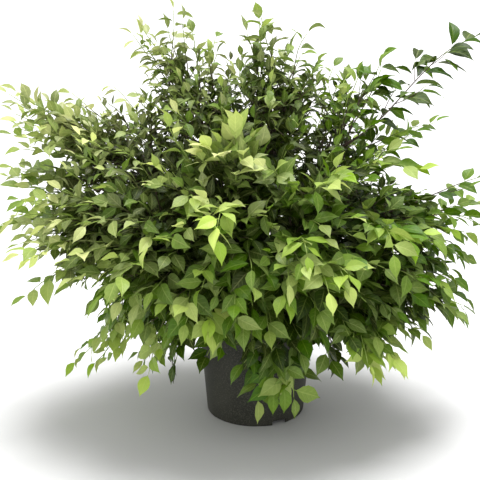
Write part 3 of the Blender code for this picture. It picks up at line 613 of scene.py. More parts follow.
def leaf_way(at, along, hand, turn, key, stand):
    """The way a leaf points and the way its upper side faces.

    On level shoots leaves stand in two flat rows, and on steep ones they wind round the shoot.
    """
    lift = share_of(at.z, 0.68, 0.84)
    facing = (UP * 0.80 + away(at) * (0.55 - 0.30 * share_of(at.z, 0.45, 0.65)) * (1 - 0.6 * lift)).normalized()
    side = along.cross(SIDEWAYS_FACE if stand == "level" else facing)
    side = side.normalized() if side.length > 0.05 else along.cross(Vector((1, 0, 0))).normalized()
    swing = turn * share_of(along.z, 0.35, 0.85)
    if stand == "level":
        swing = math.radians(draw(-50, 50, key, "swing"))
    side = Quaternion(along, swing) @ side
    splay = math.radians(52 + 16 * lift + draw(-24, 24, key, "splay"))
    pointing = along * math.cos(splay * abs(hand)) + side * (hand * math.sin(splay))
    if stand == "level":
        pointing = Vector((pointing.x, pointing.y, 0.35 * pointing.z)).normalized()
    if stand == "upright":
        pointing = (pointing + UP * 1.1).normalized()
        facing = (SIDEWAYS_FACE + away(at)).normalized()
    pitch = math.degrees(math.asin(max(-1.0, min(1.0, pointing.z))))
    hangs = 38 - 34 * share_of(at.z, 0.24, 0.60)
    hangs = hangs * share_of(pitch, -55, -5) + (12 if stand == "level" else 0)
    droop = math.radians(hangs + draw(-1, 1, key, "droop") * (18 if stand == "level" else 30))
    pointing = (pointing * math.cos(droop) - UP * math.sin(droop)).normalized()
    facing = (facing - pointing * facing.dot(pointing)).normalized()
    roll = math.radians(draw(-46, 46, key, "roll") * (1 - 0.3 * lift))
    return pointing, Quaternion(pointing, roll) @ facing


def leafy_shoot(growth, route, key, start, leaf, fresh, radii, first, spacing=None, stand="usual"):
    """A twig with alternate leaves and one at its tip."""
    settings = bpy.context.scene.snowbell_leaf
    spacing = spacing or settings.spacing * (0.45 + 0.55 * leaf / 0.06)
    steps = max(3, round((route.length - start) / 0.022))
    places = np.linspace(start, route.length, steps + 1)
    share = (places - start) / max(route.length - start, 1e-6)
    points = route.rows(places)
    sway = np.array([draw(-0.0012, 0.0012, key, "sway", i) for i in range(len(places))])
    points[1:-1] += (np.array([[1.0, 0.6, 0.4]]) * sway[1:-1, None])
    ages = 0.06 + 0.25 * fresh + (0.50 + 0.30 * fresh) * share**2
    growth.add_twig(points, radii[0] + (radii[1] - radii[0]) * share, ages, 6 if radii[0] > 0.0015 else 5)
    count = max(2, round((route.length - first) / spacing))
    for i in range(count + 1):
        last = i == count
        place = route.length if last else first + (route.length - first) * (i + draw(-0.2, 0.2, key, i)) / count
        place = min(max(place, first), route.length)
        at, along = route.at(place), route.along(place)
        hand = 0.0 if last else (1.0 if i % 2 else -1.0)
        pointing, facing = leaf_way(at, along, hand, i * GOLDEN_TURN, f"{key}/{i}", stand)
        along_share = i / count
        size = leaf * (0.74 + 0.34 * math.sin(math.pi * (0.12 + 0.70 * along_share)))
        size *= draw(0.86, 1.14, key, i, "size")
        new = fresh * (0.18 + 0.82 * along_share ** (0.5 if stand == "upright" else 1.6))
        lift = share_of(at.z, 0.68, 0.84)
        # Painted shade: leaves deep in the crown are pushed towards the dark old colour, which is also partly the
        # darker green that shade leaves really have, and leaves near the top are pushed darker too.
        age = 0.20 + 0.80 * new + draw(-0.18, 0.18, key, i, "age") - 0.42 * shade_at(at) - 0.10 * lift
        # Painted light: leaves on the left, short of its outer edge, are pushed lighter and younger.
        age += float(np.interp(at.x, (-0.60, -0.46, -0.22, -0.05), (0.0, 0.12, 0.10, 0.0)))
        age = min(max(age, 0.0), 1.0)
        growth.add_leaf(at, pointing, facing, size, age, 1.0 + (0.6 * lift if stand != "upright" else -0.4))


def side_route(route, place, key, length, turn_deg):
    """A side twig's way: off to one side of its parent, then over and slightly down."""
    at, along = route.at(place), route.along(place)
    facing = (UP + away(at) * 0.6).normalized()
    side = along.cross(facing)
    side = side.normalized() if side.length > 0.05 else along.cross(Vector((1, 0, 0))).normalized()
    turn = math.radians(turn_deg)
    leaving = (along * math.cos(turn) + side * math.sin(turn) + facing * draw(-0.15, 0.30, key, "up")).normalized()
    rise = UP * (draw(-0.55, 0.05, key, "rise") + 0.7 * share_of(at.z, 0.45, 0.85))
    arriving = (leaving + away(at) * 0.35 + rise).normalized()
    tip = at + (leaving * 0.55 + arriving * 0.45).normalized() * length
    return Route(bezier(at, at + leaving * length * 0.36, tip - arriving * length * 0.36, tip, 16))


def grow_spray(growth, route, key, start, leaf, fresh, radii, bare, side_every, reach, spacing=None, stand="usual"):
    """A spray: its own leaves, and side twigs that shorten towards its tip."""
    first = max(bare * route.length, start + 0.012)
    leafy_shoot(growth, route, key, start, leaf, fresh, radii, first, spacing, stand)
    count = int((0.80 * route.length - first) / side_every)
    for i in range(max(count, 0)):
        place = first + side_every * (i + 0.35 + draw(-0.2, 0.2, key, "place", i))
        left = 1.0 - place / route.length
        length = reach * (0.55 + 0.75 * left) * draw(0.75, 1.2, key, "reach", i)
        hand = 1 if i % 2 else -1
        turn = hand * draw(38, 58, key, "turn", i)
        sub = side_route(route, place, f"{key}/side{i}", length, turn)
        thin = radii[0] + (radii[1] - radii[0]) * place / route.length
        side_radii = (0.72 * thin, radii[1])
        leafy_shoot(growth, sub, f"{key}/side{i}", 0.0, leaf * 0.88, fresh * 0.8, side_radii, 0.018, spacing, stand)


def crown_targets(tries):
    """Places spread evenly through the crown's shell, each with its depth from 0 to 1 at the skin."""
    crown = bpy.context.scene.snowbell_crown
    targets = []
    for i in range(tries):
        x, y, z = ((0.5 + step * i) % 1.0 for step in (0.8191725134, 0.6710436067, 0.5497004779))
        height = 0.20 + 0.72 * z
        middle, half = crown_at(height)
        point = Vector(((2 * x - 1) * 0.62, (2 * y - 1) * 0.47, height))
        depth = math.hypot((point.x - middle) / half, point.y / (half * crown.depth_share))
        top = share_of(height, 0.62, 0.80)
        near_pot = math.hypot(point.x, point.y) < 0.25 and height < 0.37
        if depth > 1.0 or depth < crown.hollow * (1 - top) or near_pot:
            continue
        targets.append((i, point, max(depth, top)))
    return targets


def inner_route(target, stems, key):
    """A shoot from the nearest good place on a stem to a place in the crown."""
    best = None
    for name, stem in stems.items():
        for share in np.arange(0.50, 0.97, 0.04):
            gap = target - stem.at(share * stem.length)
            out = gap.normalized().dot(away(target, 0.35))
            cost = gap.length + 0.30 * (1 - out) + (0.4 if gap.length < 0.09 else 0.0)
            if best is None or cost < best[0]:
                best = (cost, name, share)
    _, owner, share = best
    stem = stems[owner]
    start = stem.at(share * stem.length)
    leaving = parting(stem.along(share * stem.length), (target - start).normalized(), math.radians(30))
    level = away(target, target.z)
    pitch = math.radians(np.interp(target.z, (0.2, 0.5, 0.7, 0.9), (-40, -6, 28, 66)) + draw(-22, 22, key, "pitch"))
    arriving = level * math.cos(pitch) + UP * math.sin(pitch)
    pull = 0.36 * (target - start).length
    return owner, Route(bezier(start, start + leaving * pull, target - arriving * pull, target, 30))


def grow_stem(growth, stem, route, stubs):
    """A woody stem: a tapering, slightly uneven tube with a swelling at each side shoot."""
    wood = bpy.context.scene.snowbell_wood
    name, base = stem[0], stem[4]
    steps = round(route.length / wood.step)
    places = np.linspace(0, route.length, steps + 1)
    share = places / route.length
    radii = base + (WOOD_END_RADIUS - base) * share
    for i, place in enumerate(places):
        radii[i] *= 1 + 0.10 * noise.noise(Vector((place * 40, base * 900, 3.1)))
        for spot, _ in stubs:
            radii[i] += 0.0011 * math.exp(-(((place - spot) / 0.010) ** 2))
    points = route.rows(places)
    for i in range(5, len(points) - 1):
        wander = noise.noise_vector(Vector((places[i] * 14, base * 700, 9.7)))
        points[i] += np.array(wander) * 0.0022 * min(1.0, (len(points) - 1 - i) / 6)
    growth.add_twig(points, radii, 0.30 * share, 12)
    for spot, side in stubs:
        places = np.linspace(0, STUB_LENGTH, 5)
        share = places / STUB_LENGTH
        radii = 0.0034 - 0.0013 * np.sqrt(share)
        growth.add_twig(side.rows(places), radii, 0.25 + 0.10 * share, 8)


# Materials


def node(tree, kind, settings=None, inputs=None, stops=None):
    """Adds a node with its settings, values or links, and colour stops."""
    made = tree.nodes.new(kind)
    for name, value in (settings or {}).items():
        setattr(made, name, value)
    for socket, value in (inputs or {}).items():
        if isinstance(value, bpy.types.NodeSocket):
            tree.links.new(value, made.inputs[socket])
        else:
            made.inputs[socket].default_value = value
    if stops:
        elements = made.color_ramp.elements
        while len(elements) > 1:
            elements.remove(elements[-1])
        elements[0].position, elements[0].color = stops[0][0], (*stops[0][1], 1.0)
        for place, colour in stops[1:]:
            elements.new(place).color = (*colour, 1.0)
    return made


def new_material(name):
    """An empty material with its output."""
    made = bpy.data.materials.new(name)
    made.use_nodes = True
    made.node_tree.nodes.clear()
    return made, made.node_tree, made.node_tree.nodes.new("ShaderNodeOutputMaterial")


def waxy_leaf():
    """Thin leaf with a satin cuticle: soft sky gloss on top, and light that comes through it."""
    found = bpy.data.materials.get("waxy_leaf_blade")
    if found:
        return found
    leaf = bpy.context.scene.snowbell_leaf
    made, tree, out = new_material("waxy_leaf_blade")
    age = node(tree, "ShaderNodeAttribute", {"attribute_name": "age"})
    tone_and_painted_light = node(tree, "ShaderNodeAttribute", {"attribute_name": "tone_and_painted_light"})
    place = node(tree, "ShaderNodeTexCoord")
    # Mottling about 9 mm across, with finer grain inside it
    mottle = node(
        tree, "ShaderNodeTexNoise", None,
        {"Vector": place.outputs["Object"], "Scale": 110.0, "Detail": 3.0, "Roughness": 0.6},
    )
    shift = node(
        tree, "ShaderNodeMath", {"operation": "MULTIPLY_ADD"},
        {0: mottle.outputs["Fac"], 1: 0.20, 2: age.outputs["Fac"]},
    )
    shift = node(tree, "ShaderNodeMath", {"operation": "SUBTRACT"}, {0: shift.outputs[0], 1: 0.10})
    # Age picks the colour from old to newest; on leaves it also carries painted shade, darker deep in the crown and
    # near the top, and painted light, lighter on the left.
    base = node(
        tree, "ShaderNodeValToRGB", None, {"Fac": shift.outputs[0]},
        [(0.0, leaf.old), (0.26, leaf.grown), (0.66, leaf.young), (1.0, leaf.newest)],
    )
    # Veins on the leaf's own map: a midrib, and five pairs that sweep forward
    split = node(tree, "ShaderNodeSeparateXYZ", None, {"Vector": place.outputs["UV"]})
    centred = node(
        tree, "ShaderNodeMath", {"operation": "MULTIPLY_ADD"}, {0: split.outputs["X"], 1: 2.0, 2: -1.0}
    )
    off = node(tree, "ShaderNodeMath", {"operation": "ABSOLUTE"}, {0: centred.outputs[0]})
    midrib = node(
        tree, "ShaderNodeMapRange", {"interpolation_type": "SMOOTHSTEP"},
        {"Value": off.outputs[0], "From Min": 0.03, "From Max": 0.12, "To Min": 1.0, "To Max": 0.0},
    )
    sweep = node(
        tree, "ShaderNodeMath", {"operation": "MULTIPLY_ADD"},
        {0: off.outputs[0], 1: -0.26, 2: split.outputs["Y"]},
    )
    beat = node(tree, "ShaderNodeMath", {"operation": "MULTIPLY"}, {0: sweep.outputs[0], 1: 6.2832 * 5.6})
    wave = node(tree, "ShaderNodeMath", {"operation": "COSINE"}, {0: beat.outputs[0]})
    vein = node(
        tree, "ShaderNodeMapRange", {"interpolation_type": "SMOOTHSTEP"},
        {"Value": wave.outputs[0], "From Min": 0.80, "From Max": 1.0},
    )
    fade = node(
        tree, "ShaderNodeMapRange", None,
        {"Value": off.outputs[0], "From Min": 0.35, "From Max": 0.95, "To Min": 0.55, "To Max": 0.0},
    )
    vein = node(tree, "ShaderNodeMath", {"operation": "MULTIPLY"}, {0: vein.outputs[0], 1: fade.outputs[0]})
    lines = node(tree, "ShaderNodeMath", {"operation": "MAXIMUM"}, {0: vein.outputs[0], 1: midrib.outputs[0]})
    strength = node(tree, "ShaderNodeMath", {"operation": "MULTIPLY"}, {0: lines.outputs[0], 1: 0.44})
    pale = node(
        tree, "ShaderNodeMix", {"data_type": "RGBA"},
        {"Factor": 0.5, 6: base.outputs["Color"], 7: linear("#C3D27C", 1.0)},
    )
    veined = node(
        tree, "ShaderNodeMix", {"data_type": "RGBA"},
        {"Factor": strength.outputs[0], 6: base.outputs["Color"], 7: pale.outputs[2]},
    )
    # Tone, random from leaf to leaf plus painted light and shade by place, sets how light, grey and yellow a leaf is:
    # where it is high the painted part stands for sunlit, sky-glossed leaves, and where it is low for shaded ones.
    light, hue, depth = (
        node(
            tree, "ShaderNodeMapRange", None,
            {"Value": tone_and_painted_light.outputs["Fac"], "From Max": 1.5, "To Min": low, "To Max": high},
        ).outputs[0]
        for low, high in ((0.66, 1.84), (0.522, 0.445), (1.22, 0.60))
    )
    colour = node(
        tree, "ShaderNodeHueSaturation", None,
        {"Hue": hue, "Saturation": depth, "Value": light, "Color": veined.outputs[2]},
    )
    rough = node(
        tree, "ShaderNodeMapRange", None,
        {"Value": mottle.outputs["Fac"], "From Min": 0.3, "From Max": 0.7, "To Min": 0.38, "To Max": 0.54},
    )
    # Quilting between the veins, about 0.3 mm deep
    quilt = node(
        tree, "ShaderNodeMath", {"operation": "MULTIPLY_ADD"},
        {0: wave.outputs[0], 1: -0.30, 2: mottle.outputs["Fac"]},
    )
    height = node(
        tree, "ShaderNodeMath", {"operation": "MULTIPLY_ADD"},
        {0: midrib.outputs[0], 1: -0.9, 2: quilt.outputs[0]},
    )
    bump = node(
        tree, "ShaderNodeBump", None, {"Strength": 0.55, "Distance": 0.0005, "Height": height.outputs[0]}
    )
    shell = node(
        tree, "ShaderNodeBsdfPrincipled", None,
        {
            "Base Color": colour.outputs["Color"], "Roughness": rough.outputs[0], "IOR": 1.5,
            "Specular IOR Level": 0.30, "Normal": bump.outputs["Normal"],
        },
    )
    glow = node(
        tree, "ShaderNodeHueSaturation", None,
        {"Hue": 0.487, "Saturation": 1.05, "Value": 1.25, "Color": colour.outputs["Color"]},
    )
    through = node(tree, "ShaderNodeBsdfTranslucent", None, {"Color": glow.outputs["Color"]})
    both = node(
        tree, "ShaderNodeMixShader", None, {0: 0.26, 1: shell.outputs[0], 2: through.outputs[0]}
    )
    tree.links.new(both.outputs[0], out.inputs["Surface"])
    return made


def thin_bark():
    """Smooth young bark, finely furrowed lengthways: dull, grey-brown, green where it is new."""
    found = bpy.data.materials.get("smooth_young_bark")
    if found:
        return found
    wood = bpy.context.scene.snowbell_wood
    made, tree, out = new_material("smooth_young_bark")
    age = node(tree, "ShaderNodeAttribute", {"attribute_name": "age"})
    place = node(tree, "ShaderNodeTexCoord")
    stretch = node(
        tree, "ShaderNodeMapping", None, {"Vector": place.outputs["UV"], "Scale": (900.0, 90.0, 1.0)}
    )
    furrow = node(
        tree, "ShaderNodeTexNoise", None,
        {"Vector": stretch.outputs["Vector"], "Scale": 1.0, "Detail": 4.0, "Roughness": 0.65},
    )
    patch = node(
        tree, "ShaderNodeTexNoise", None, {"Vector": place.outputs["Object"], "Scale": 60.0, "Detail": 2.0}
    )
    moved = node(
        tree, "ShaderNodeMath", {"operation": "MULTIPLY_ADD"},
        {0: patch.outputs["Fac"], 1: 0.24, 2: age.outputs["Fac"]},
    )
    base = node(
        tree, "ShaderNodeValToRGB", None, {"Fac": moved.outputs[0]},
        [(0.05, wood.old), (0.42, wood.young), (0.66, wood.green), (1.0, linear("#93A850"))],
    )
    shade = node(
        tree, "ShaderNodeMapRange", None,
        {"Value": furrow.outputs["Fac"], "From Min": 0.30, "From Max": 0.70, "To Min": 0.62, "To Max": 1.22},
    )
    colour = node(
        tree, "ShaderNodeHueSaturation", None, {"Value": shade.outputs[0], "Color": base.outputs["Color"]}
    )
    bump = node(
        tree, "ShaderNodeBump", None, {"Strength": 0.5, "Distance": 0.0008, "Height": furrow.outputs["Fac"]}
    )
    shell = node(
        tree, "ShaderNodeBsdfPrincipled", None,
        {
            "Base Color": colour.outputs["Color"], "Roughness": 0.68, "IOR": 1.45,
            "Normal": bump.outputs["Normal"],
        },
    )
    tree.links.new(shell.outputs[0], out.inputs["Surface"])
    return made


def moulded_polypropylene():
    """Recycled black polypropylene, injection moulded: dull charcoal with a fine pale fleck and dust."""
    pot = bpy.context.scene.snowbell_pot
    made, tree, out = new_material("moulded_recycled_polypropylene")
    place = node(tree, "ShaderNodeTexCoord")
    # The fleck is about 0.5 mm on the real pot, drawn 3 mm across so that it shows
    fleck = node(
        tree, "ShaderNodeTexNoise", None,
        {"Vector": place.outputs["Object"], "Scale": 330.0, "Detail": 3.0, "Roughness": 0.65},
    )
    spots = node(
        tree, "ShaderNodeMapRange", {"interpolation_type": "SMOOTHSTEP"},
        {"Value": fleck.outputs["Fac"], "From Min": 0.48, "From Max": 0.64, "To Min": 0.0, "To Max": 0.62},
    )
    cloud = node(
        tree, "ShaderNodeTexNoise", None,
        {"Vector": place.outputs["Object"], "Scale": 16.0, "Detail": 5.0, "Roughness": 0.6},
    )
    dusty = node(
        tree, "ShaderNodeMapRange", None,
        {"Value": cloud.outputs["Fac"], "From Min": 0.42, "From Max": 0.72, "To Min": 0.0, "To Max": 0.22},
    )
    amount = node(tree, "ShaderNodeMath", {"operation": "MAXIMUM"}, {0: spots.outputs[0], 1: dusty.outputs[0]})
    colour = node(
        tree, "ShaderNodeMix", {"data_type": "RGBA"},
        {"Factor": amount.outputs[0], 6: (*pot.colour, 1.0), 7: (*pot.dust, 1.0)},
    )
    rough = node(
        tree, "ShaderNodeMapRange", None, {"Value": amount.outputs[0], "To Min": 0.58, "To Max": 0.80}
    )
    bump = node(
        tree, "ShaderNodeBump", None, {"Strength": 0.35, "Distance": 0.0006, "Height": fleck.outputs["Fac"]}
    )
    shell = node(
        tree, "ShaderNodeBsdfPrincipled", None,
        {
            "Base Color": colour.outputs[2], "Roughness": rough.outputs[0], "IOR": 1.49,
            "Specular IOR Level": 0.35, "Normal": bump.outputs["Normal"],
        },
    )
    tree.links.new(shell.outputs[0], out.inputs["Surface"])
    return made


def composted_bark():
    """Screened composted bark and peat: dark damp crumbs with paler dry bits, no gloss."""
    mix = bpy.context.scene.snowbell_mix
    made, tree, out = new_material("composted_bark_crumbs")
    place = node(tree, "ShaderNodeTexCoord")
    crumb = node(
        tree, "ShaderNodeTexNoise", None,
        {"Vector": place.outputs["Object"], "Scale": 160.0, "Detail": 6.0, "Roughness": 0.7},
    )
    base = node(
        tree, "ShaderNodeValToRGB", None, {"Fac": crumb.outputs["Fac"]}, [(0.38, mix.dark), (0.66, mix.light)]
    )
    bump = node(
        tree, "ShaderNodeBump", None, {"Strength": 0.9, "Distance": 0.003, "Height": crumb.outputs["Fac"]}
    )
    shell = node(
        tree, "ShaderNodeBsdfPrincipled", None,
        {"Base Color": base.outputs["Color"], "Roughness": 0.92, "Normal": bump.outputs["Normal"]},
    )
    tree.links.new(shell.outputs[0], out.inputs["Surface"])
    return made


def matt_paint():
    """Matt painted floor: white, with no gloss."""
    stage = bpy.context.scene.snowbell_stage
    made, tree, out = new_material("matt_white_paint")
    shell = node(
        tree, "ShaderNodeBsdfPrincipled", None,
        {"Base Color": (*stage.floor, 1.0), "Roughness": 1.0, "Specular IOR Level": 0.0},
    )
    tree.links.new(shell.outputs[0], out.inputs["Surface"])
    return made


# Pieces


def turned_mesh(name, profile, sides):
    """A mesh turned from a profile of (radius, height) points that starts and ends on the axis."""
    body = bmesh.new()
    rings = []
    for radius, height in profile:
        if radius < 1e-6:
            rings.append([body.verts.new((0.0, 0.0, height))])
            continue
        ring = []
        for j in range(sides):
            angle = 2 * math.pi * j / sides
            ring.append(body.verts.new((radius * math.cos(angle), radius * math.sin(angle), height)))
        rings.append(ring)
    for above, below in zip(rings, rings[1:]):
        for j in range(sides):
            k = (j + 1) % sides
            corners = [above[j % len(above)], below[j % len(below)], below[k % len(below)], above[k % len(above)]]
            corners = [v for i, v in enumerate(corners) if v not in corners[:i]]
            if len(corners) > 2:
                body.faces.new(corners)
    bmesh.ops.recalc_face_normals(body, faces=body.faces)
    mesh = bpy.data.meshes.new(name)
    body.to_mesh(mesh)
    body.free()
    return mesh


def arc(middle, radius, start_deg, end_deg, count):
    """Points of a rounded corner in a profile."""
    made = []
    for i in range(count + 1):
        angle = math.radians(start_deg + (end_deg - start_deg) * i / count)
        made.append((middle[0] + radius * math.cos(angle), middle[1] + radius * math.sin(angle)))
    return made


def pot_profile(pot):
    """From the middle of the inside floor, up, over the rim and down to the underside."""
    slope = (pot.top_radius - pot.foot_radius) / pot.height

    def wall(height):
        return pot.foot_radius + slope * height

    floor, thick, ring = 0.016, 0.003, 0.0045
    inside = [(0.0, floor + thick), (wall(floor) - pot.wall - 0.005, floor + thick)]
    inside += [(wall(floor + 0.008) - pot.wall, floor + thick + 0.005)]
    inside += [(wall(h) - pot.wall, h) for h in np.linspace(0.05, pot.height - 0.03, 6)]
    rim_out = wall(pot.height) + pot.rim_proud
    inner_rim = wall(pot.height) - pot.wall
    rim = arc((inner_rim + 0.0018, pot.height - 0.0018), 0.0018, 180, 90, 4)
    rim += arc((rim_out - 0.0022, pot.height - 0.0022), 0.0022, 90, 0, 5)
    bottom = pot.height - pot.rim_depth
    rim += [(wall(bottom + 0.004) + pot.rim_proud, bottom + 0.004)]
    rim += arc((wall(bottom) + pot.rim_proud - 0.0015, bottom + 0.0015), 0.0015, 0, -90, 3)
    rim += [(wall(bottom) + 0.0006, bottom), (wall(bottom - 0.002), bottom - 0.002)]
    outside = [(wall(h), h) for h in np.linspace(bottom - 0.03, 0.02, 8)]
    foot = arc((wall(0.006) - 0.006, 0.006), 0.006, 0, -80, 6)
    foot += [(pot.foot_radius - ring - 0.0005, 0.0), (pot.foot_radius - ring, 0.0008)]
    under = [(pot.foot_radius - ring, floor - 0.002), (pot.foot_radius - ring - 0.002, floor)]
    under += [(0.032, floor), (0.0305, floor - 0.0015), (0.030, 0.0006), (0.0294, 0.0), (0.0, 0.0)]
    return inside + rim + outside + foot + under


def cut_with(target, cutter):
    """Cuts the cutter from the target for good, and removes it."""
    cut = target.modifiers.new("cut", "BOOLEAN")
    cut.operation = "DIFFERENCE"
    cut.solver = "EXACT"
    cut.object = cutter
    graph = bpy.context.evaluated_depsgraph_get()
    mesh = bpy.data.meshes.new_from_object(target.evaluated_get(graph))
    target.modifiers.clear()
    target.data = mesh
    bpy.data.objects.remove(cutter, do_unlink=True)


def rounded_notch(pot, angle_deg):
    """A cutter for one drainage notch, with rounded upper corners."""
    half, high, round_by = pot.notch_width / 2, pot.notch_height, 0.004
    outline = [(-half, -0.01), (half, -0.01)]
    outline += arc((half - round_by, high - round_by), round_by, 0, 90, 5)
    outline += arc((-half + round_by, high - round_by), round_by, 90, 180, 5)
    body = bmesh.new()
    near = [body.verts.new((pot.foot_radius - 0.016, x, z)) for x, z in outline]
    far = [body.verts.new((pot.foot_radius + 0.020, x, z)) for x, z in outline]
    body.faces.new(near)
    body.faces.new(far[::-1])
    for i in range(len(outline)):
        j = (i + 1) % len(outline)
        body.faces.new((near[j], near[i], far[i], far[j]))
    bmesh.ops.recalc_face_normals(body, faces=body.faces)
    mesh = bpy.data.meshes.new("notch")
    body.to_mesh(mesh)
    body.free()
    cutter = bpy.data.objects.new("notch", mesh)
    cutter.matrix_world = Matrix.Rotation(math.radians(angle_deg), 4, "Z")
    bpy.context.scene.collection.objects.link(cutter)
    return cutter


class PotOperator(bpy.types.Operator):
    """Makes the nursery pot with its rolled rim and notched foot"""

    bl_idname = "snowbell.pot"
    bl_label = "Nursery pot"

    def execute(self, context):
        pot = context.scene.snowbell_pot
        mesh = turned_mesh("nursery_pot_shell", pot_profile(pot), 96)
        made = bpy.data.objects.new("nursery_pot_shell", mesh)
        context.scene.collection.objects.link(made)
        for i in range(3):
            cut_with(made, rounded_notch(pot, -62 + 120 * i))
        made.data.materials.append(moulded_polypropylene())
        made.data.polygons.foreach_set("use_smooth", [True] * len(made.data.polygons))
        made.data.set_sharp_from_angle(angle=math.radians(38))
        fit_in(made, "pot_plastic", "nursery_pot")
        return {"FINISHED"}


class MixOperator(bpy.types.Operator):
    """Makes the crumbly potting mix with bark chips on it"""

    bl_idname = "snowbell.potting_mix"
    bl_label = "Potting mix"

    def execute(self, context):
        mix, pot = context.scene.snowbell_mix, context.scene.snowbell_pot
        slope = (pot.top_radius - pot.foot_radius) / pot.height
        top = pot.foot_radius + slope * SOIL_TOP - pot.wall - 0.0003
        profile = [(0.0, 0.0193), (pot.foot_radius + slope * 0.02 - pot.wall - 0.0055, 0.0193)]
        profile += [(pot.foot_radius + slope * 0.0245 - pot.wall - 0.0005, 0.0245), (top, SOIL_TOP)]
        rings = 34
        for i in range(1, rings + 1):
            share = 1 - i / rings
            profile.append((top * share if share > 0.004 else 0.0, SOIL_TOP + mix.crown * (1 - share**2)))
        mesh = turned_mesh("potting_mix_crumbs", profile, 110)
        for vert in mesh.vertices:
            edge = math.hypot(vert.co.x, vert.co.y)
            if vert.co.z > SOIL_TOP - 0.0001 and edge < top - 0.001:
                rough = noise.fractal(vert.co * 130, 0.7, 2.1, 5)
                vert.co.z += mix.lump * rough * min(1.0, (top - edge) / 0.010) - 0.001
        made = bpy.data.objects.new("potting_mix_crumbs", mesh)
        context.scene.collection.objects.link(made)
        self.add_chips(made, mix, top)
        made.data.materials.append(composted_bark())
        made.data.polygons.foreach_set("use_smooth", [True] * len(made.data.polygons))
        made.data.set_sharp_from_angle(angle=math.radians(50))
        fit_in(made, "potting_mix", "potting_mix")
        return {"FINISHED"}

    def add_chips(self, made, mix, top):
        """Flat chips of bark, lying at all angles on the crumbs."""
        body = bmesh.new()
        body.from_mesh(made.data)
        for i in range(mix.chips):
            edge = (top - 0.012) * math.sqrt(draw(0, 1, "chip", i, "edge"))
            angle = draw(0, 2 * math.pi, "chip", i, "angle")
            height = SOIL_TOP + mix.crown * (1 - (edge / top) ** 2) + 0.0012
            size = Vector((draw(4, 13, i, "x"), draw(3, 7, i, "y"), draw(1, 2.4, i, "z"))) * 0.001
            turn = Matrix.Rotation(draw(0, 6.28, i, "turn"), 4, "Z")
            tilt = Matrix.Rotation(draw(-0.5, 0.5, i, "tilt"), 4, "X")
            place = Matrix.Translation((edge * math.cos(angle), edge * math.sin(angle), height))
            shape = place @ turn @ tilt @ Matrix.Diagonal((*size, 1.0))
            cube = bmesh.ops.create_cube(body, size=1.0, matrix=shape)
            for corner, vert in enumerate(cube["verts"]):
                vert.co += Vector([draw(-1.1, 1.1, i, corner, k) for k in range(3)]) * 0.001
        body.to_mesh(made.data)
        body.free()


class StemsOperator(bpy.types.Operator):
    """Makes the woody stems and the stubs of their side shoots"""

    bl_idname = "snowbell.stems"
    bl_label = "Stems"

    def execute(self, context):
        stems = {stem[0]: stem_route(stem) for stem in STEMS}
        for stem in STEMS:
            route = stems[stem[0]]
            stubs = [
                (spray[2] * route.length, spray_route(spray, stems))
                for spray in SPRAYS
                if spray[1] == stem[0] and spray[2] < 1.0
            ]
            growth = Growth("wood_" + stem[0])
            grow_stem(growth, stem, route, stubs)
            made = growth.object(PLAIN_ROWS, 5, (waxy_leaf(), thin_bark()))
            fit_in(made, "bark", "stem_" + stem[0])
        return {"FINISHED"}


class SpraysOperator(bpy.types.Operator):
    """Makes the leafy sprays that give the crown its outline"""

    bl_idname = "snowbell.sprays"
    bl_label = "Leafy sprays"

    def execute(self, context):
        wood = context.scene.snowbell_wood
        stems = {stem[0]: stem_route(stem) for stem in STEMS}
        radii = (wood.twig_radius, wood.tip_radius)
        for spray in SPRAYS:
            name, leaf, fresh = spray[0], spray[5], spray[6]
            route = spray_route(spray, stems)
            start = 0.0 if spray[2] == 1.0 else STUB_LENGTH - 0.001
            growth = Growth("foliage_" + name)
            scale, spacing, side_every, stand = HABITS.get(name, PLAIN_HABIT)
            leaf *= scale
            grow_spray(growth, route, name, start, leaf, fresh, radii, 0.14, side_every, 0.085, spacing, stand)
            made = growth.object(BLADE_ROWS, 7, (waxy_leaf(), thin_bark()))
            fit_in(made, "leaf", "spray_" + name)
        return {"FINISHED"}


class InnerShootsOperator(bpy.types.Operator):
    """Makes the many inner shoots that close the crown between the sprays"""

    bl_idname = "snowbell.inner_shoots"
    bl_label = "Inner shoots"

    def execute(self, context):
        crown = context.scene.snowbell_crown
        stems = {stem[0]: stem_route(stem) for stem in STEMS}
        growths = {name: Growth("inner_shoots_" + name) for name in stems}
        for index, target, depth in crown_targets(crown.tries):
            key = f"inner{index}"
            owner, route = inner_route(target, stems, key)
            skin = share_of(depth, 0.6, 0.95)
            fresh = draw(0.0, 0.42, key, "fresh") * (0.3 + 0.7 * skin)
            if draw(0, 1, key, "flush") > 0.96 and skin > 0.6:
                fresh = 0.9
            leaf = 0.062 - 0.014 * share_of(target.y, -0.35, 0.10) - 0.016 * share_of(target.z, 0.40, 0.70)
            leaf -= 0.005 * share_of(-target.x, 0.05, 0.30) * share_of(target.z, 0.45, 0.60)
            leaf *= draw(0.88, 1.12, key, "leaf")
            growth = growths[owner]
            grow_spray(growth, route, key, 0.0, leaf, fresh, (0.0021, 0.0009), 0.30, 0.062, 0.080)
        for index, shoot in enumerate(EXTRA_SHOOTS):
            owner, leaf, fresh = shoot[0], shoot[4], shoot[5]
            route = spray_route(("extra", *shoot), stems)
            grow_spray(growths[owner], route, f"extra{index}", 0.0, leaf, fresh, (0.0021, 0.0009), 0.34, 0.060, 0.075)
        for growth in growths.values():
            if growth.leaves:
                fit_in(growth.object(PLAIN_ROWS, 5, (waxy_leaf(), thin_bark())), "leaf")
        return {"FINISHED"}


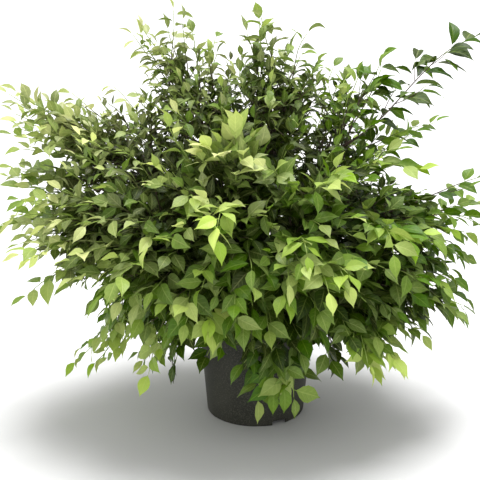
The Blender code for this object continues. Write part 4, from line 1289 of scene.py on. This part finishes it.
class StageOperator(bpy.types.Operator):
    """Sets the floor, the soft light and the camera"""

    bl_idname = "snowbell.stage"
    bl_label = "Stage"

    def execute(self, context):
        scene, stage = context.scene, context.scene.snowbell_stage
        floor = bpy.data.meshes.new("floor")
        reach = 400.0
        floor.from_pydata(
            [(-reach, -reach, 0.0), (reach, -reach, 0.0), (reach, reach, 0.0), (-reach, reach, 0.0)],
            [],
            [(0, 1, 2, 3)],
        )
        floor.materials.append(matt_paint())
        ground = bpy.data.objects.new("floor", floor)
        scene.collection.objects.link(ground)
        world = bpy.data.worlds.new("overcast")
        world.use_nodes = True
        tree = world.node_tree
        tree.nodes.clear()
        place = node(tree, "ShaderNodeTexCoord")
        height = node(tree, "ShaderNodeSeparateXYZ", None, {"Vector": place.outputs["Generated"]})
        lean = node(
            tree, "ShaderNodeVectorMath", {"operation": "DOT_PRODUCT"},
            {0: place.outputs["Generated"], 1: Vector((-0.88, -0.47, 0.0)) * stage.lean},
        )
        wall = node(
            tree, "ShaderNodeMath", {"operation": "ADD"}, {0: lean.outputs["Value"], 1: stage.wall}
        )
        light = node(
            tree, "ShaderNodeMapRange", {"interpolation_type": "SMOOTHSTEP"},
            {
                "Value": height.outputs["Z"], "From Min": 0.16, "From Max": 0.50,
                "To Min": wall.outputs[0], "To Max": stage.ceiling,
            },
        )
        sky = node(tree, "ShaderNodeBackground", None, {"Color": (1, 1, 1, 1), "Strength": light.outputs[0]})
        out = node(tree, "ShaderNodeOutputWorld", None, {"Surface": sky.outputs[0]})
        scene.world = world
        lamp = bpy.data.lights.new("softbox", "SUN")
        lamp.energy = stage.key
        lamp.angle = stage.spread
        softbox = bpy.data.objects.new("softbox", lamp)
        towards = Vector((0.07, 0.12, 1.0))
        softbox.location = towards * 3
        softbox.rotation_euler = (-towards).to_track_quat("-Z", "Y").to_euler()
        scene.collection.objects.link(softbox)
        lens = bpy.data.cameras.new("camera")
        lens.lens = 73.12
        lens.sensor_width = 36.0
        camera = bpy.data.objects.new("camera", lens)
        camera.location = (-0.040, -2.35, 1.046)
        camera.rotation_euler = (math.radians(90 - 14.3), 0.0, 0.0)
        scene.collection.objects.link(camera)
        scene.camera = camera
        scene.view_settings.view_transform = "Standard"
        return {"FINISHED"}


class SnowbellPanel(bpy.types.Panel):
    """Lists the pieces of the shrub and its stage"""

    bl_idname = "VIEW3D_PT_snowbell"
    bl_label = "Snowbell shrub"
    bl_space_type = "VIEW_3D"
    bl_region_type = "UI"
    bl_category = "Snowbell"

    def draw(self, context):
        for group, operators in PANEL_ROWS:
            box = self.layout.box()
            settings = getattr(context.scene, group)
            for name in settings.__annotations__:
                box.prop(settings, name)
            for operator in operators:
                box.operator(operator.bl_idname)


SETTINGS = {
    "snowbell_pot": PotSettings,
    "snowbell_mix": MixSettings,
    "snowbell_wood": WoodSettings,
    "snowbell_leaf": LeafSettings,
    "snowbell_crown": CrownSettings,
    "snowbell_stage": StageSettings,
}
PANEL_ROWS = (
    ("snowbell_pot", (PotOperator,)),
    ("snowbell_mix", (MixOperator,)),
    ("snowbell_wood", (StemsOperator,)),
    ("snowbell_leaf", (SpraysOperator,)),
    ("snowbell_crown", (InnerShootsOperator,)),
    ("snowbell_stage", (StageOperator,)),
)
OPERATORS = [operator for _, operators in PANEL_ROWS for operator in operators]


def register():
    for made in (*SETTINGS.values(), *OPERATORS, SnowbellPanel):
        bpy.utils.register_class(made)
    for name, group in SETTINGS.items():
        setattr(bpy.types.Scene, name, PointerProperty(type=group))


def unregister():
    for name in SETTINGS:
        delattr(bpy.types.Scene, name)
    for made in reversed((*SETTINGS.values(), *OPERATORS, SnowbellPanel)):
        bpy.utils.unregister_class(made)


def main():
    register()
    bpy.ops.snowbell.pot()
    bpy.ops.snowbell.potting_mix()
    bpy.ops.snowbell.stems()
    bpy.ops.snowbell.sprays()
    bpy.ops.snowbell.inner_shoots()
    bpy.ops.snowbell.stage()


if __name__ == "__main__":
    main()
